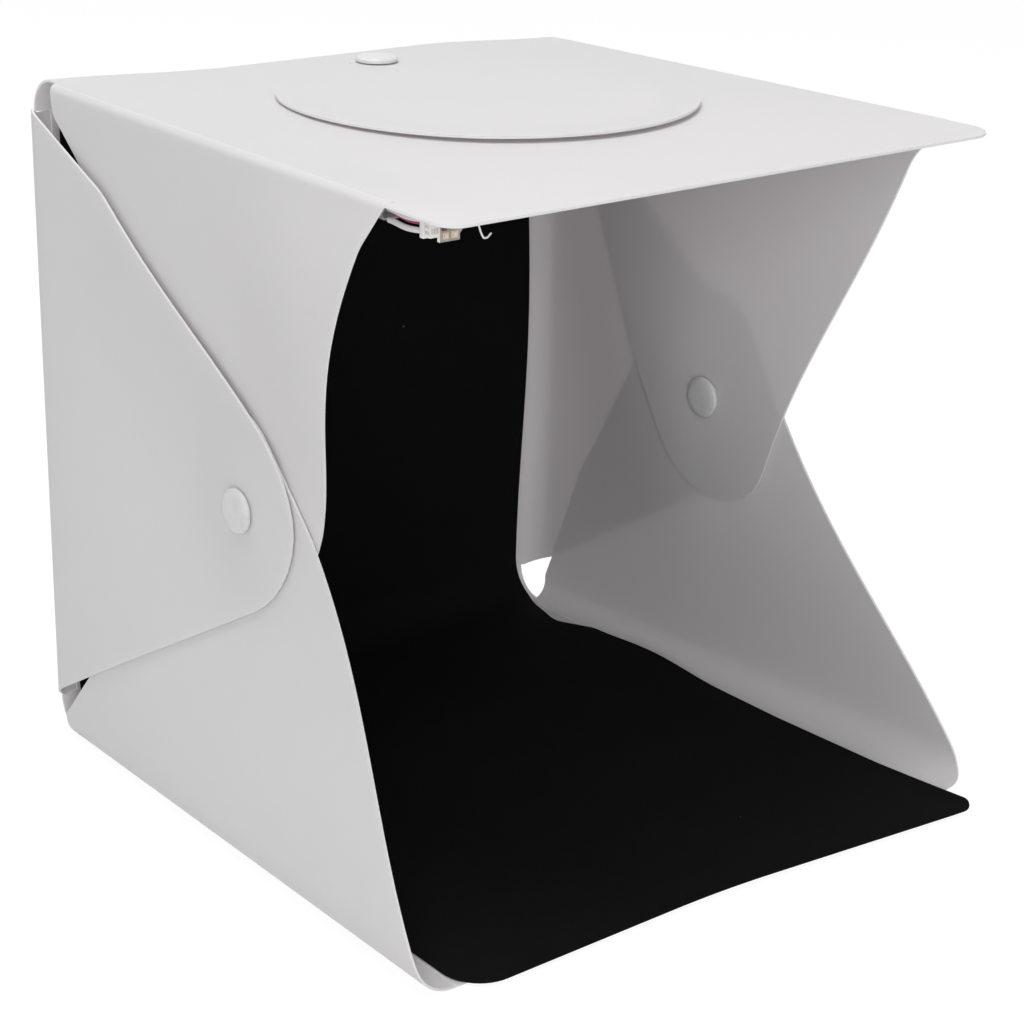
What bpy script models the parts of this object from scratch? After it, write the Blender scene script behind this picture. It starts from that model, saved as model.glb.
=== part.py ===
"""Foldable light tent cube: white plastic sheet folded into a box, snapped at the sides."""
import math

import bmesh
import bpy
from mathutils import Vector

# Overall box, in metres. X runs across the opening, the opening faces -Y, Z is up.
WIDTH = 0.228
DEPTH = 0.230
HEIGHT = 0.236

# Plastic sheet and the clearances between its layers
SHEET = 0.0008
LAYER_GAP = 0.0004
FIT_GAP = 0.0003
SNAP_GAP = 0.0002

# Fold radii at mid thickness
TOP_FOLD = 0.0025
BASE_FOLD = 0.008
BACK_FOLD = 0.0114
# The base's folds are softer at the open front, so its flaps stand out there
BASE_SPREAD = 0.0072
REAR_BEND = 0.012
# A folded edge is scored to a thin lip on the hinge line
SCORE_SETBACK = 0.0006
SCORE_LIP = 0.00015

# The sides are drawn inward by the snaps
BOW = 0.0125
LOW_BOW_POWER = 2
HIGH_BOW_POWER = 3
BOW_FADE_START = 0.008
BUMP_SPREAD = 0.032
SNAP_HEIGHT = HEIGHT / 2

# Top panel, its front visor and window
VISOR_SHY = 0.0008
VISOR_REACH = 0.004
VISOR_ROUND = 0.018
WINDOW_X = 0.004
WINDOW_SETBACK = 0.103

# Lid over the window, held by a swivel cap
LID_RADIUS = 0.070
LID_LAP = 0.010
LID_LIFT = 0.0012
LID_SNAP_SHY = 0.0019
LID_SNAP_TURN = math.radians(86.6)
LID_EAR = 0.0095

# Flap outlines: corners as shares of (DEPTH, HEIGHT) in the side view, feet along the fold
BASE_FLAP_FEET_SHARES = (-0.5, 0.4445)
BASE_FLAP_SHARES = ((-0.503, 0.048), (0.008, 0.748), (0.357, 0.263), (0.4487, 0.042))
BASE_FLAP_ROUNDS = (0.015, 0.0245, 0.050, 0.006)
TOP_FLAP_FEET_SHARES = (-0.416, 0.424)
TOP_FLAP_SHARES = ((-0.350, 0.935), (-0.018, 0.130), (0.322, 0.720), (0.333, 0.905))
TOP_FLAP_ROUNDS = (0.020, 0.033, 0.040, 0.020)
BACK_FLAP_FEET_SHARES = (0.0733, 0.9428)
BACK_FLAP_SHARES = ((0.468, 0.0733), (-0.2748, 0.4962), (0.468, 0.9428))
BACK_FLAP_ROUNDS = (0.012, 0.0315, 0.012)

# Press-stud pieces
CAP_RADIUS = 0.0075
CAP_RIM = 0.0007
CAP_EDGE = 0.0011
CAP_CROWN = 0.0005
PIN_RADIUS = 0.0020
PIN_HOLE = 0.0023
SOCKET_RADIUS = 0.0055
SOCKET_HEIGHT = 0.0024
SOCKET_BORE = 0.0028
SOCKET_FLOOR = 0.0006
STUD_RADIUS = 0.0055
STUD_FLANGE = 0.0010
STUD_POST_RADIUS = 0.0026
STUD_POST = 0.0018
STUD_HOLE = 0.0063

# Backdrop sheet and its pads
BACKDROP_SHEET = 0.0005
BACKDROP_MARGIN = 0.0008
BACKDROP_REACH = 0.013
BACKDROP_ROUND = 0.012
BACKDROP_SWEEP = 0.016
BACKDROP_TOP_GAP = 0.007
BACKDROP_LEAN = 0.0045
BACKDROP_HUMP = 0.0020
HUMP_START = -0.010
HUMP_END = 0.066
PAD_WIDTH = 0.024
PAD_HEIGHT = 0.012
PAD_SHEET = 0.0008
PAD_INSET = 0.016

# Light strip in its clear sleeve, under the left edge of the top
SLEEVE_INSET = 0.0037
SLEEVE_WIDTH = 0.011
SLEEVE_HEIGHT = 0.0032
SLEEVE_WALL = 0.0005
SLEEVE_SETBACK = 0.0181
SLEEVE_LENGTH = 0.160
STRIP_SHEET = 0.0004
CHIP_SIZE = 0.0035
CHIP_HEIGHT = 0.0009
CHIP_COUNT = 20

# Leads, plug and board in front of the strip
LEAD_RADIUS = 0.00065
RED_LEAD_RADIUS = 0.0005
LEAD_PITCH = 0.0016
LEAD_SAG = 0.0016
TAIL_RADIUS = 0.0004
TAIL_REACH = 0.0095
TAIL_DROP = 0.0080
PLUG_INSET = 0.0107
PLUG_SETBACK = 0.0200
PLUG_LENGTH = 0.0045
PLUG_WIDTH = 0.0036
PLUG_HEIGHT = 0.0060
BOARD_LENGTH = 0.0087
BOARD_SHEET = 0.0012
BOARD_HEIGHT = 0.0077
BOARD_NOTCH = 0.0018
BOARD_NOTCH_HEIGHT = 0.0018

# Mesh fineness
GRID = 0.012
ARC_STEPS = 6
FOLD_STEPS = 5
ROUND_SEGMENTS = 28
SMALL_SEGMENTS = 20
RING_STEPS = 8
TINY = 0.00001
SMOOTH_ANGLE = math.radians(35)

# Places that follow from the sizes
QUARTER = math.pi / 2
FLOOR_MID = SHEET / 2
CEILING_MID = HEIGHT - SHEET / 2
REAR_MID = DEPTH / 2 - SHEET / 2
BACK_LAYER = WIDTH / 2 - SHEET / 2
BASE_LAYER = BACK_LAYER - SHEET - LAYER_GAP
TOP_LAYER = BASE_LAYER - SHEET - LAYER_GAP
BASE_HINGE_X = BASE_LAYER - BASE_FOLD
TOP_HINGE_X = TOP_LAYER - TOP_FOLD
BACK_HINGE_X = BACK_LAYER - BACK_FOLD
SPINE_HALF_WIDTH = TOP_HINGE_X - SCORE_SETBACK
BASE_REAR_FOOT = BASE_FLAP_FEET_SHARES[1] * DEPTH
REAR_HINGE_Y = REAR_MID - REAR_BEND
LOW_HINGE_Z = FLOOR_MID + REAR_BEND
HIGH_HINGE_Z = CEILING_MID - REAR_BEND
FRONT = -DEPTH / 2
CEILING = HEIGHT - SHEET
VISOR_HALF_WIDTH = WIDTH / 2 - VISOR_SHY
VISOR_FRONT = FRONT - VISOR_REACH
WINDOW_Y = DEPTH / 2 - WINDOW_SETBACK
WINDOW_RADIUS = LID_RADIUS - LID_LAP
LID_SNAP_X = WINDOW_X + (LID_RADIUS - LID_SNAP_SHY) * math.cos(LID_SNAP_TURN)
LID_SNAP_Y = WINDOW_Y + (LID_RADIUS - LID_SNAP_SHY) * math.sin(LID_SNAP_TURN)
VISOR_BACK = TOP_FLAP_FEET_SHARES[0] * DEPTH - 2 * FIT_GAP
BACKDROP_HALF_WIDTH = BASE_HINGE_X - BACKDROP_MARGIN
BACKDROP_FRONT = FRONT - BACKDROP_REACH
BACKDROP_TOP = HEIGHT - BACKDROP_TOP_GAP
SLEEVE_X = -TOP_HINGE_X + SLEEVE_INSET
SLEEVE_FRONT = TOP_FLAP_FEET_SHARES[0] * DEPTH + SLEEVE_SETBACK
SLEEVE_BACK = SLEEVE_FRONT + SLEEVE_LENGTH
PLUG_X = -VISOR_HALF_WIDTH + PLUG_INSET
PLUG_FRONT = VISOR_FRONT + PLUG_SETBACK
PLUG_BACK = PLUG_FRONT + PLUG_LENGTH
BOARD_Y = PLUG_FRONT + BOARD_SHEET
BOARD_LEFT = PLUG_X + PLUG_WIDTH / 2 + FIT_GAP
BOARD_RIGHT = BOARD_LEFT + BOARD_LENGTH
BUMP = 2 * (SNAP_GAP + SHEET / 2) + SOCKET_HEIGHT - (BACK_LAYER - BASE_LAYER)
# The object is centred on its own depth, the backdrop's overhang included
SHIFT = Vector((0, -(BACKDROP_FRONT + DEPTH / 2) / 2, 0))

COLOURS = {
    "sheet": ((0.86, 0.86, 0.87, 1), 0.5, 0),
    "lid": ((0.88, 0.88, 0.89, 1), 0.5, 0),
    "cap": ((0.85, 0.85, 0.85, 1), 0.35, 0),
    "backdrop": ((0.006, 0.006, 0.006, 1), 0.75, 0),
    "pad": ((0.75, 0.75, 0.75, 1), 0.95, 0),
    "sleeve": ((0.62, 0.64, 0.64, 1), 0.3, 0),
    "strip": ((0.85, 0.84, 0.78, 1), 0.4, 0),
    "white_lead": ((0.84, 0.83, 0.83, 1), 0.4, 0),
    "red_lead": ((0.45, 0.03, 0.06, 1), 0.4, 0),
    "board": ((0.66, 0.60, 0.47, 1), 0.45, 0),
}


def clear_scene():
    for item in list(bpy.data.objects):
        bpy.data.objects.remove(item, do_unlink=True)


def clamp(value):
    return min(max(value, 0), 1)


def ease(value):
    share = clamp(value)
    return share * share * (3 - 2 * share)


def base_spread(y):
    """How much wider the base's fold is here than at its rear foot."""
    return BASE_SPREAD * clamp((BASE_REAR_FOOT - y) / (BASE_REAR_FOOT + DEPTH / 2))


def bow(y, z):
    """How far a side layer is drawn inward of its upright place. Outward near the base."""
    wave = max(math.sin(math.pi * z / HEIGHT), 0)
    fade = ease((y - BOW_FADE_START) / (REAR_MID - BACK_FOLD - BOW_FADE_START))
    if z < SNAP_HEIGHT:
        flare = base_spread(y) * (1 - wave * wave)
        return BOW * wave ** LOW_BOW_POWER * (1 - fade) - flare
    return BOW * wave ** HIGH_BOW_POWER * (1 - fade)


def bump(y, z):
    """The outer layer's rise over the press stud, level under the cap."""
    away = math.hypot(y, z - SNAP_HEIGHT) - CAP_RADIUS
    share = clamp(away / (BUMP_SPREAD - CAP_RADIUS))
    return BUMP * math.cos(share * QUARTER) ** 2


def bend(along, radius):
    """Distance from the fold line to (out, up) past a quarter-round fold."""
    angle = min(along / radius, QUARTER)
    beyond = max(along - radius * QUARTER, 0)
    return radius * math.sin(angle), radius * (1 - math.cos(angle)) + beyond


def unroll(rise, radius):
    """The distance from the fold line of a point that stands this far from the panel."""
    return rise - radius + radius * QUARTER


def base_flap_mid(side):
    def mid(y, along):
        spread = base_spread(y)
        out, up = bend(along, BASE_FOLD + spread)
        z = FLOOR_MID + up
        return Vector((side * (BASE_HINGE_X + out - spread - bow(y, z)), y, z))
    return mid


def top_flap_mid(side):
    def mid(y, along):
        out, down = bend(along, TOP_FOLD)
        z = CEILING_MID - down
        return Vector((side * (TOP_HINGE_X + out - bow(y, z)), y, z))
    return mid


def back_flap_mid(side):
    def mid(z, along):
        out, ahead = bend(along, BACK_FOLD)
        y = REAR_MID - ahead
        return Vector((side * (BACK_HINGE_X + out - bow(y, z) + bump(y, z)), y, z))
    return mid


def low_spine_mid(x, along):
    out, up = bend(along, REAR_BEND)
    return Vector((x, REAR_HINGE_Y + out, FLOOR_MID + up))


def high_spine_mid(x, along):
    out, down = bend(along, REAR_BEND)
    return Vector((x, REAR_HINGE_Y + out, CEILING_MID - down))


def backdrop_mid(x, along):
    """Floor, small hump, sweep and the leaning upright part of the backdrop."""
    low = SHEET + FIT_GAP + BACKDROP_SHEET / 2
    back = DEPTH / 2 - SHEET - FIT_GAP - PAD_SHEET - FIT_GAP - BACKDROP_SHEET / 2
    turn = back - BACKDROP_SWEEP
    y = BACKDROP_FRONT + along
    if y < turn:
        share = clamp((y - HUMP_START) / (HUMP_END - HUMP_START))
        return Vector((x, y, low + BACKDROP_HUMP * math.sin(math.pi * share) ** 2))
    out, up = bend(y - turn, BACKDROP_SWEEP)
    share = clamp((up - BACKDROP_SWEEP) / (BACKDROP_TOP - low - BACKDROP_SWEEP))
    lean = BACKDROP_LEAN * math.sin(math.pi * share) ** 2
    return Vector((x, turn + out - lean, low + up))


def lid_mid(x, y):
    share = math.hypot(x - LID_SNAP_X, y - LID_SNAP_Y) / (2 * LID_RADIUS)
    return Vector((x, y, HEIGHT + FIT_GAP + SHEET / 2 + LID_LIFT * share * share))


def level(z):
    def mid(x, y):
        return Vector((x, y, z))
    return mid


def upright(y):
    def mid(x, z):
        return Vector((x, y, z))
    return mid


def facing_side(x):
    def mid(y, z):
        return Vector((x, y, z))
    return mid


def normal_at(mid, a, b):
    across = mid(a + TINY, b) - mid(a - TINY, b)
    along = mid(a, b + TINY) - mid(a, b - TINY)
    return across.cross(along).normalized()


def circle(x, y, radius, segments):
    turns = [2 * math.pi * n / segments for n in range(segments)]
    return [(x + radius * math.cos(t), y + radius * math.sin(t)) for t in turns]


def arc(x, y, radius, start, end, steps):
    turns = [start + (end - start) * n / steps for n in range(steps + 1)]
    return [(x + radius * math.cos(t), y + radius * math.sin(t)) for t in turns]


def rounded(corners, radii):
    """A closed outline with each corner replaced by an arc of its radius."""
    outline = []
    for n, radius in enumerate(radii):
        here = Vector(corners[n])
        if radius == 0:
            outline.append(tuple(here))
            continue
        back = (Vector(corners[n - 1]) - here).normalized()
        ahead = (Vector(corners[(n + 1) % len(corners)]) - here).normalized()
        half = back.angle(ahead) / 2
        centre = here + (back + ahead).normalized() * radius / math.sin(half)
        first = here + back * radius / math.tan(half) - centre
        last = here + ahead * radius / math.tan(half) - centre
        start = math.atan2(first.y, first.x)
        sweep = math.atan2(last.y, last.x) - start
        sweep = (sweep + math.pi) % (2 * math.pi) - math.pi
        outline += arc(centre.x, centre.y, radius, start, start + sweep, ARC_STEPS)
    return outline


def box_outline(a0, a1, b0, b1):
    return [(a0, b0), (a1, b0), (a1, b1), (a0, b1)]


def grid_lines(low, high, step=GRID):
    first = math.ceil(low / step + TINY)
    last = math.floor(high / step - TINY)
    return [n * step for n in range(first, last + 1)]


def fold_lines(radius, steps=FOLD_STEPS):
    return [radius * QUARTER * n / steps for n in range(1, steps + 1)]


def finish(name, solid, origin, colour):
    """Turn a closed mesh into a named object whose origin is on its joint axis."""
    bmesh.ops.remove_doubles(solid, verts=solid.verts, dist=TINY / 10)
    bmesh.ops.triangulate(solid, faces=[f for f in solid.faces if len(f.verts) > 4])
    bmesh.ops.recalc_face_normals(solid, faces=solid.faces)
    bmesh.ops.translate(solid, verts=solid.verts, vec=-Vector(origin))
    mesh = bpy.data.meshes.new(name)
    solid.to_mesh(mesh)
    solid.free()
    mesh.shade_smooth()
    mesh.set_sharp_from_angle(angle=SMOOTH_ANGLE)
    item = bpy.data.objects.new(name, mesh)
    item.location = Vector(origin) + SHIFT
    bpy.context.scene.collection.objects.link(item)
    shade(item, name, colour)
    return item


def shade(item, name, colour):
    base, rough, metal = COLOURS[colour]
    material = bpy.data.materials.new(name)
    material.use_nodes = True
    shader = material.node_tree.nodes["Principled BSDF"]
    shader.inputs["Base Color"].default_value = base
    shader.inputs["Roughness"].default_value = rough
    shader.inputs["Metallic"].default_value = metal
    material.diffuse_color = base
    item.data.materials.append(material)


def plan_face(loops, lines_a, lines_b):
    """The flat outline, cut along the lines where the sheet may curve."""
    plan = bmesh.new()
    rims = []
    for loop in loops:
        verts = [plan.verts.new((a, b, 0)) for a, b in loop]
        rims.append(verts)
    if len(loops) == 1:
        plan.faces.new(rims[0])
    else:
        edges = []
        for verts in rims:
            for n, vert in enumerate(verts):
                edges.append(plan.edges.new((vert, verts[(n + 1) % len(verts)])))
        bmesh.ops.triangle_fill(plan, use_beauty=True, edges=edges, normal=(0, 0, 1))
    for direction, lines in (((1, 0, 0), lines_a), ((0, 1, 0), lines_b)):
        for line in lines:
            parts = plan.verts[:] + plan.edges[:] + plan.faces[:]
            at = Vector(direction) * line
            bmesh.ops.bisect_plane(plan, geom=parts, dist=TINY / 10, plane_co=at, plane_no=direction)
    plan.verts.index_update()
    return plan


def on_score(first, last, scores):
    """The scored line that this rim edge lies on, if any."""
    for axis, line, lip in scores:
        if abs(first[axis] - line) < TINY and abs(last[axis] - line) < TINY:
            return axis, lip
    return None


def sheet(name, loops, mid, scores, colour, origin, lines_a=(), lines_b=(), thick=SHEET):
    """A thin sheet over an outline. Scored edges narrow to a lip on the hinge line."""
    plan = plan_face(loops, lines_a, lines_b)
    solid = bmesh.new()
    tops = []
    lows = []
    for vert in plan.verts:
        a, b = vert.co.x, vert.co.y
        offset = normal_at(mid, a, b) * thick / 2
        tops.append(solid.verts.new(mid(a, b) + offset))
        lows.append(solid.verts.new(mid(a, b) - offset))
    for face in plan.faces:
        order = [v.index for v in face.verts]
        solid.faces.new([tops[n] for n in order])
        solid.faces.new([lows[n] for n in reversed(order)])
    lips = {}
    ends = {}
    for edge in plan.edges:
        if len(edge.link_faces) != 1:
            continue
        i, j = edge.verts[0].index, edge.verts[1].index
        score = on_score(edge.verts[0].co, edge.verts[1].co, scores)
        if score is None:
            solid.faces.new([tops[i], tops[j], lows[j], lows[i]])
            continue
        axis, lip = score
        for vert in edge.verts:
            key = (vert.index, axis, lip)
            if key not in lips:
                at = [vert.co.x, vert.co.y]
                at[axis] = lip
                lips[key] = solid.verts.new(mid(at[0], at[1]))
            ends[key] = ends.get(key, 0) + 1
        first, last = lips[(i, axis, lip)], lips[(j, axis, lip)]
        solid.faces.new([tops[i], tops[j], last, first])
        solid.faces.new([first, last, lows[j], lows[i]])
    for key, count in ends.items():
        if count == 1:
            solid.faces.new([tops[key[0]], lips[key], lows[key[0]]])
    plan.free()
    return finish(name, solid, origin, colour)


def cutter(name, radius, place, axis):
    """A round cutter across a sheet, out of sight."""
    mesh = bpy.data.meshes.new(name)
    tool = bmesh.new()
    bmesh.ops.create_cone(
        tool, cap_ends=True, segments=SMALL_SEGMENTS,
        radius1=radius, radius2=radius, depth=CAP_RADIUS)
    tool.to_mesh(mesh)
    tool.free()
    item = bpy.data.objects.new(name, mesh)
    item.location = Vector(place) + SHIFT
    item.rotation_euler = Vector(axis).to_track_quat("Z", "Y").to_euler()
    item.hide_render = True
    item.display_type = "WIRE"
    bpy.context.scene.collection.objects.link(item)
    return item


def bore(item, radius, place, axis):
    tool = cutter(item.name + "_bore", radius, place, axis)
    change = item.modifiers.new("bore", "BOOLEAN")
    change.operation = "DIFFERENCE"
    change.solver = "EXACT"
    change.object = tool


def lathe(name, profile, place, axis, segments, colour, origin):
    """A turned piece. The profile is (radius, height) pairs, from axis to axis or a ring."""
    turn = Vector(axis).to_track_quat("Z", "Y")
    solid = bmesh.new()
    rings = []
    for radius, height in profile:
        if radius == 0:
            rings.append([solid.verts.new((0, 0, height))])
            continue
        rings.append([solid.verts.new((a, b, height)) for a, b in circle(0, 0, radius, segments)])
    for low, high in zip(rings, rings[1:]):
        for n in range(segments):
            m = (n + 1) % segments
            corners = [low[n % len(low)], low[m % len(low)], high[m % len(high)], high[n % len(high)]]
            solid.faces.new(list(dict.fromkeys(corners)))
    for vert in solid.verts:
        vert.co = turn @ vert.co + Vector(place)
    return finish(name, solid, origin, colour)


def cap_profile(pin):
    """A low dome with a rounded rim, on a pin of the given length."""
    edge = [
        (CAP_RADIUS - CAP_EDGE + CAP_EDGE * math.cos(QUARTER * n / 4),
         CAP_RIM + CAP_EDGE * math.sin(QUARTER * n / 4))
        for n in range(5)]
    flat = CAP_RADIUS - CAP_EDGE
    crown = [
        (flat * math.cos(QUARTER * n / 3), CAP_RIM + CAP_EDGE + CAP_CROWN * math.sin(QUARTER * n / 3))
        for n in range(1, 3)]
    top = (0, CAP_RIM + CAP_EDGE + CAP_CROWN)
    return [(0, -pin), (PIN_RADIUS, -pin), (PIN_RADIUS, 0), (flat, 0),
            (CAP_RADIUS, CAP_RIM / 2)] + edge + crown + [top]


def socket_profile(bore_radius):
    """A cup that is open on its first face and closed behind."""
    return [(0, SOCKET_HEIGHT - SOCKET_FLOOR), (bore_radius, SOCKET_HEIGHT - SOCKET_FLOOR),
            (bore_radius, 0), (SOCKET_RADIUS, 0), (SOCKET_RADIUS, SOCKET_HEIGHT),
            (0, SOCKET_HEIGHT)]


def stud_profile():
    tip = STUD_FLANGE + STUD_POST
    return [(0, 0), (STUD_RADIUS, 0), (STUD_RADIUS, STUD_FLANGE / 2),
            (STUD_RADIUS - FIT_GAP, STUD_FLANGE), (STUD_POST_RADIUS, STUD_FLANGE),
            (STUD_POST_RADIUS, tip - FIT_GAP), (STUD_POST_RADIUS - FIT_GAP, tip), (0, tip)]


def tube(name, path, radius, colour, origin):
    """A round lead along a path, with filled ends."""
    solid = bmesh.new()
    points = [Vector(p) for p in path]
    side = Vector((0, 0, 1))
    rings = []
    for n, point in enumerate(points):
        ahead = points[min(n + 1, len(points) - 1)] - points[max(n - 1, 0)]
        ahead.normalize()
        across = ahead.cross(side).normalized()
        side = across.cross(ahead).normalized()
        spokes = circle(0, 0, radius, RING_STEPS)
        rings.append([solid.verts.new(point + across * a + side * b) for a, b in spokes])
    for low, high in zip(rings, rings[1:]):
        for n in range(RING_STEPS):
            m = (n + 1) % RING_STEPS
            solid.faces.new([low[n], low[m], high[m], high[n]])
    solid.faces.new(list(reversed(rings[0])))
    solid.faces.new(rings[-1])
    return finish(name, solid, origin, colour)


def build_panels():
    floor_x = BASE_HINGE_X - SCORE_SETBACK
    rear_y = REAR_HINGE_Y - SCORE_SETBACK
    floor_scores = [
        (0, -floor_x, -BASE_HINGE_X + SCORE_LIP), (0, floor_x, BASE_HINGE_X - SCORE_LIP),
        (1, rear_y, REAR_HINGE_Y - SCORE_LIP)]
    floor = box_outline(-floor_x, floor_x, FRONT, rear_y)
    sheet("base_panel", [floor], level(FLOOR_MID), floor_scores, "sheet", (0, 0, 0))

    low = LOW_HINGE_Z + SCORE_SETBACK
    high = HIGH_HINGE_Z - SCORE_SETBACK
    back_x = BACK_HINGE_X - SCORE_SETBACK
    back_scores = [
        (0, -back_x, -BACK_HINGE_X + SCORE_LIP), (0, back_x, BACK_HINGE_X - SCORE_LIP),
        (1, low, LOW_HINGE_Z + SCORE_LIP), (1, high, HIGH_HINGE_Z - SCORE_LIP)]
    back = box_outline(-back_x, back_x, low, high)
    sheet("back_panel", [back], upright(REAR_MID), back_scores, "sheet", (0, REAR_MID, LOW_HINGE_Z))

    top_x = TOP_HINGE_X - SCORE_SETBACK
    top_scores = [
        (0, -top_x, -TOP_HINGE_X + SCORE_LIP), (0, top_x, TOP_HINGE_X - SCORE_LIP),
        (1, rear_y, REAR_HINGE_Y - SCORE_LIP)]
    corners = [
        (-top_x, rear_y), (-top_x, VISOR_BACK), (-VISOR_HALF_WIDTH, VISOR_BACK),
        (-VISOR_HALF_WIDTH, VISOR_FRONT), (VISOR_HALF_WIDTH, VISOR_FRONT),
        (VISOR_HALF_WIDTH, VISOR_BACK), (top_x, VISOR_BACK), (top_x, rear_y)]
    outline = rounded(corners, (0, 0, 0, VISOR_ROUND, VISOR_ROUND, 0, 0, 0))
    window = circle(WINDOW_X, WINDOW_Y, WINDOW_RADIUS, 2 * ROUND_SEGMENTS)
    pin_hole = circle(LID_SNAP_X, LID_SNAP_Y, PIN_HOLE, SMALL_SEGMENTS)
    hinge = (0, REAR_HINGE_Y, CEILING_MID)
    sheet("top_panel", [outline, window, pin_hole], level(CEILING_MID), top_scores, "sheet", hinge)


def build_spines():
    length = REAR_BEND * QUARTER
    lines = [length * n / (2 * FOLD_STEPS) for n in range(1, 2 * FOLD_STEPS)]
    scores = [
        (1, SCORE_SETBACK, SCORE_LIP), (1, length - SCORE_SETBACK, length - SCORE_LIP)]
    half = SPINE_HALF_WIDTH
    outline = box_outline(-half, half, SCORE_SETBACK, length - SCORE_SETBACK)
    low_at = (0, REAR_HINGE_Y, FLOOR_MID)
    sheet("bottom_spine", [outline], low_spine_mid, scores, "sheet", low_at, (), lines)
    high_at = (0, REAR_MID, HIGH_HINGE_Z)
    sheet("top_spine", [outline], high_spine_mid, scores, "sheet", high_at, (), lines)


def flap_outline(feet_shares, fold_length, shares, rounds, spread):
    """Feet on the scored fold, then the corners of the tongue."""
    first, last = [share * fold_length for share in feet_shares]
    corners = [(first, SCORE_SETBACK)] + [spread(a, b) for a, b in shares]
    corners.append((last, SCORE_SETBACK))
    return rounded(corners, (0,) + rounds + (0,))


def build_flaps(side, word):
    scores = [(1, SCORE_SETBACK, SCORE_LIP)]
    base_fold = BASE_FOLD + BASE_SPREAD
    up = [unroll(z - FLOOR_MID, base_fold) for z in grid_lines(FLOOR_MID + base_fold, HEIGHT)]
    down = [unroll(CEILING_MID - z, TOP_FOLD) for z in grid_lines(0, CEILING_MID - TOP_FOLD)]
    ahead = [unroll(REAR_MID - y, BACK_FOLD) for y in grid_lines(-REAR_MID, REAR_MID - BACK_FOLD)]
    depth_lines = grid_lines(FRONT, REAR_MID)
    height_lines = grid_lines(0, HEIGHT)
    snap = (0, SNAP_HEIGHT)

    base_outline = flap_outline(
        BASE_FLAP_FEET_SHARES, DEPTH, BASE_FLAP_SHARES, BASE_FLAP_ROUNDS,
        lambda a, b: (a * DEPTH, unroll(b * HEIGHT - FLOOR_MID, BASE_FOLD + base_spread(a * DEPTH))))
    base_flap = sheet(
        "base_flap_" + word, [base_outline], base_flap_mid(side), scores, "sheet",
        (side * BASE_HINGE_X, 0, FLOOR_MID), depth_lines, fold_lines(base_fold, 2 * FOLD_STEPS) + up)
    bore(base_flap, STUD_HOLE, (side * (BASE_LAYER - BOW),) + snap, (side, 0, 0))

    top_outline = flap_outline(
        TOP_FLAP_FEET_SHARES, DEPTH, TOP_FLAP_SHARES, TOP_FLAP_ROUNDS,
        lambda a, b: (a * DEPTH, unroll(CEILING_MID - b * HEIGHT, TOP_FOLD)))
    top_flap = sheet(
        "top_flap_" + word, [top_outline], top_flap_mid(side), scores, "sheet",
        (side * TOP_HINGE_X, 0, CEILING_MID), depth_lines, fold_lines(TOP_FOLD) + down)
    bore(top_flap, PIN_HOLE, (side * (TOP_LAYER - BOW),) + snap, (side, 0, 0))

    back_outline = flap_outline(
        BACK_FLAP_FEET_SHARES, HEIGHT, BACK_FLAP_SHARES, BACK_FLAP_ROUNDS,
        lambda a, b: (b * HEIGHT, unroll(REAR_MID - a * DEPTH, BACK_FOLD)))
    back_flap = sheet(
        "back_flap_" + word, [back_outline], back_flap_mid(side), scores, "sheet",
        (side * BACK_HINGE_X, REAR_MID, 0), height_lines, fold_lines(BACK_FOLD) + ahead)
    bore(back_flap, PIN_HOLE, (side * (BACK_LAYER - BOW + BUMP),) + snap, (side, 0, 0))


def build_snaps(side, word):
    out = (side, 0, 0)
    inward = (-side, 0, 0)
    top_at = (side * TOP_HINGE_X, 0, CEILING_MID)
    back_at = (side * BACK_HINGE_X, REAR_MID, 0)
    snap = (0, SNAP_HEIGHT)
    inner_face = TOP_LAYER - BOW - SHEET / 2
    stud_face = TOP_LAYER - BOW + SHEET / 2 + SNAP_GAP
    socket_face = BASE_LAYER - BOW + SHEET / 2 + SNAP_GAP
    outer_face = BACK_LAYER - BOW + BUMP + SHEET / 2
    pin = SHEET + SNAP_GAP
    lathe("inner_cap_" + word, cap_profile(pin), (side * (inner_face - SNAP_GAP),) + snap,
          inward, ROUND_SEGMENTS, "cap", top_at)
    lathe("stud_" + word, stud_profile(), (side * stud_face,) + snap,
          out, SMALL_SEGMENTS, "cap", top_at)
    lathe("socket_" + word, socket_profile(SOCKET_BORE), (side * socket_face,) + snap,
          out, SMALL_SEGMENTS, "cap", back_at)
    lathe("outer_cap_" + word, cap_profile(pin), (side * (outer_face + SNAP_GAP),) + snap,
          out, ROUND_SEGMENTS, "cap", back_at)


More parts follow.
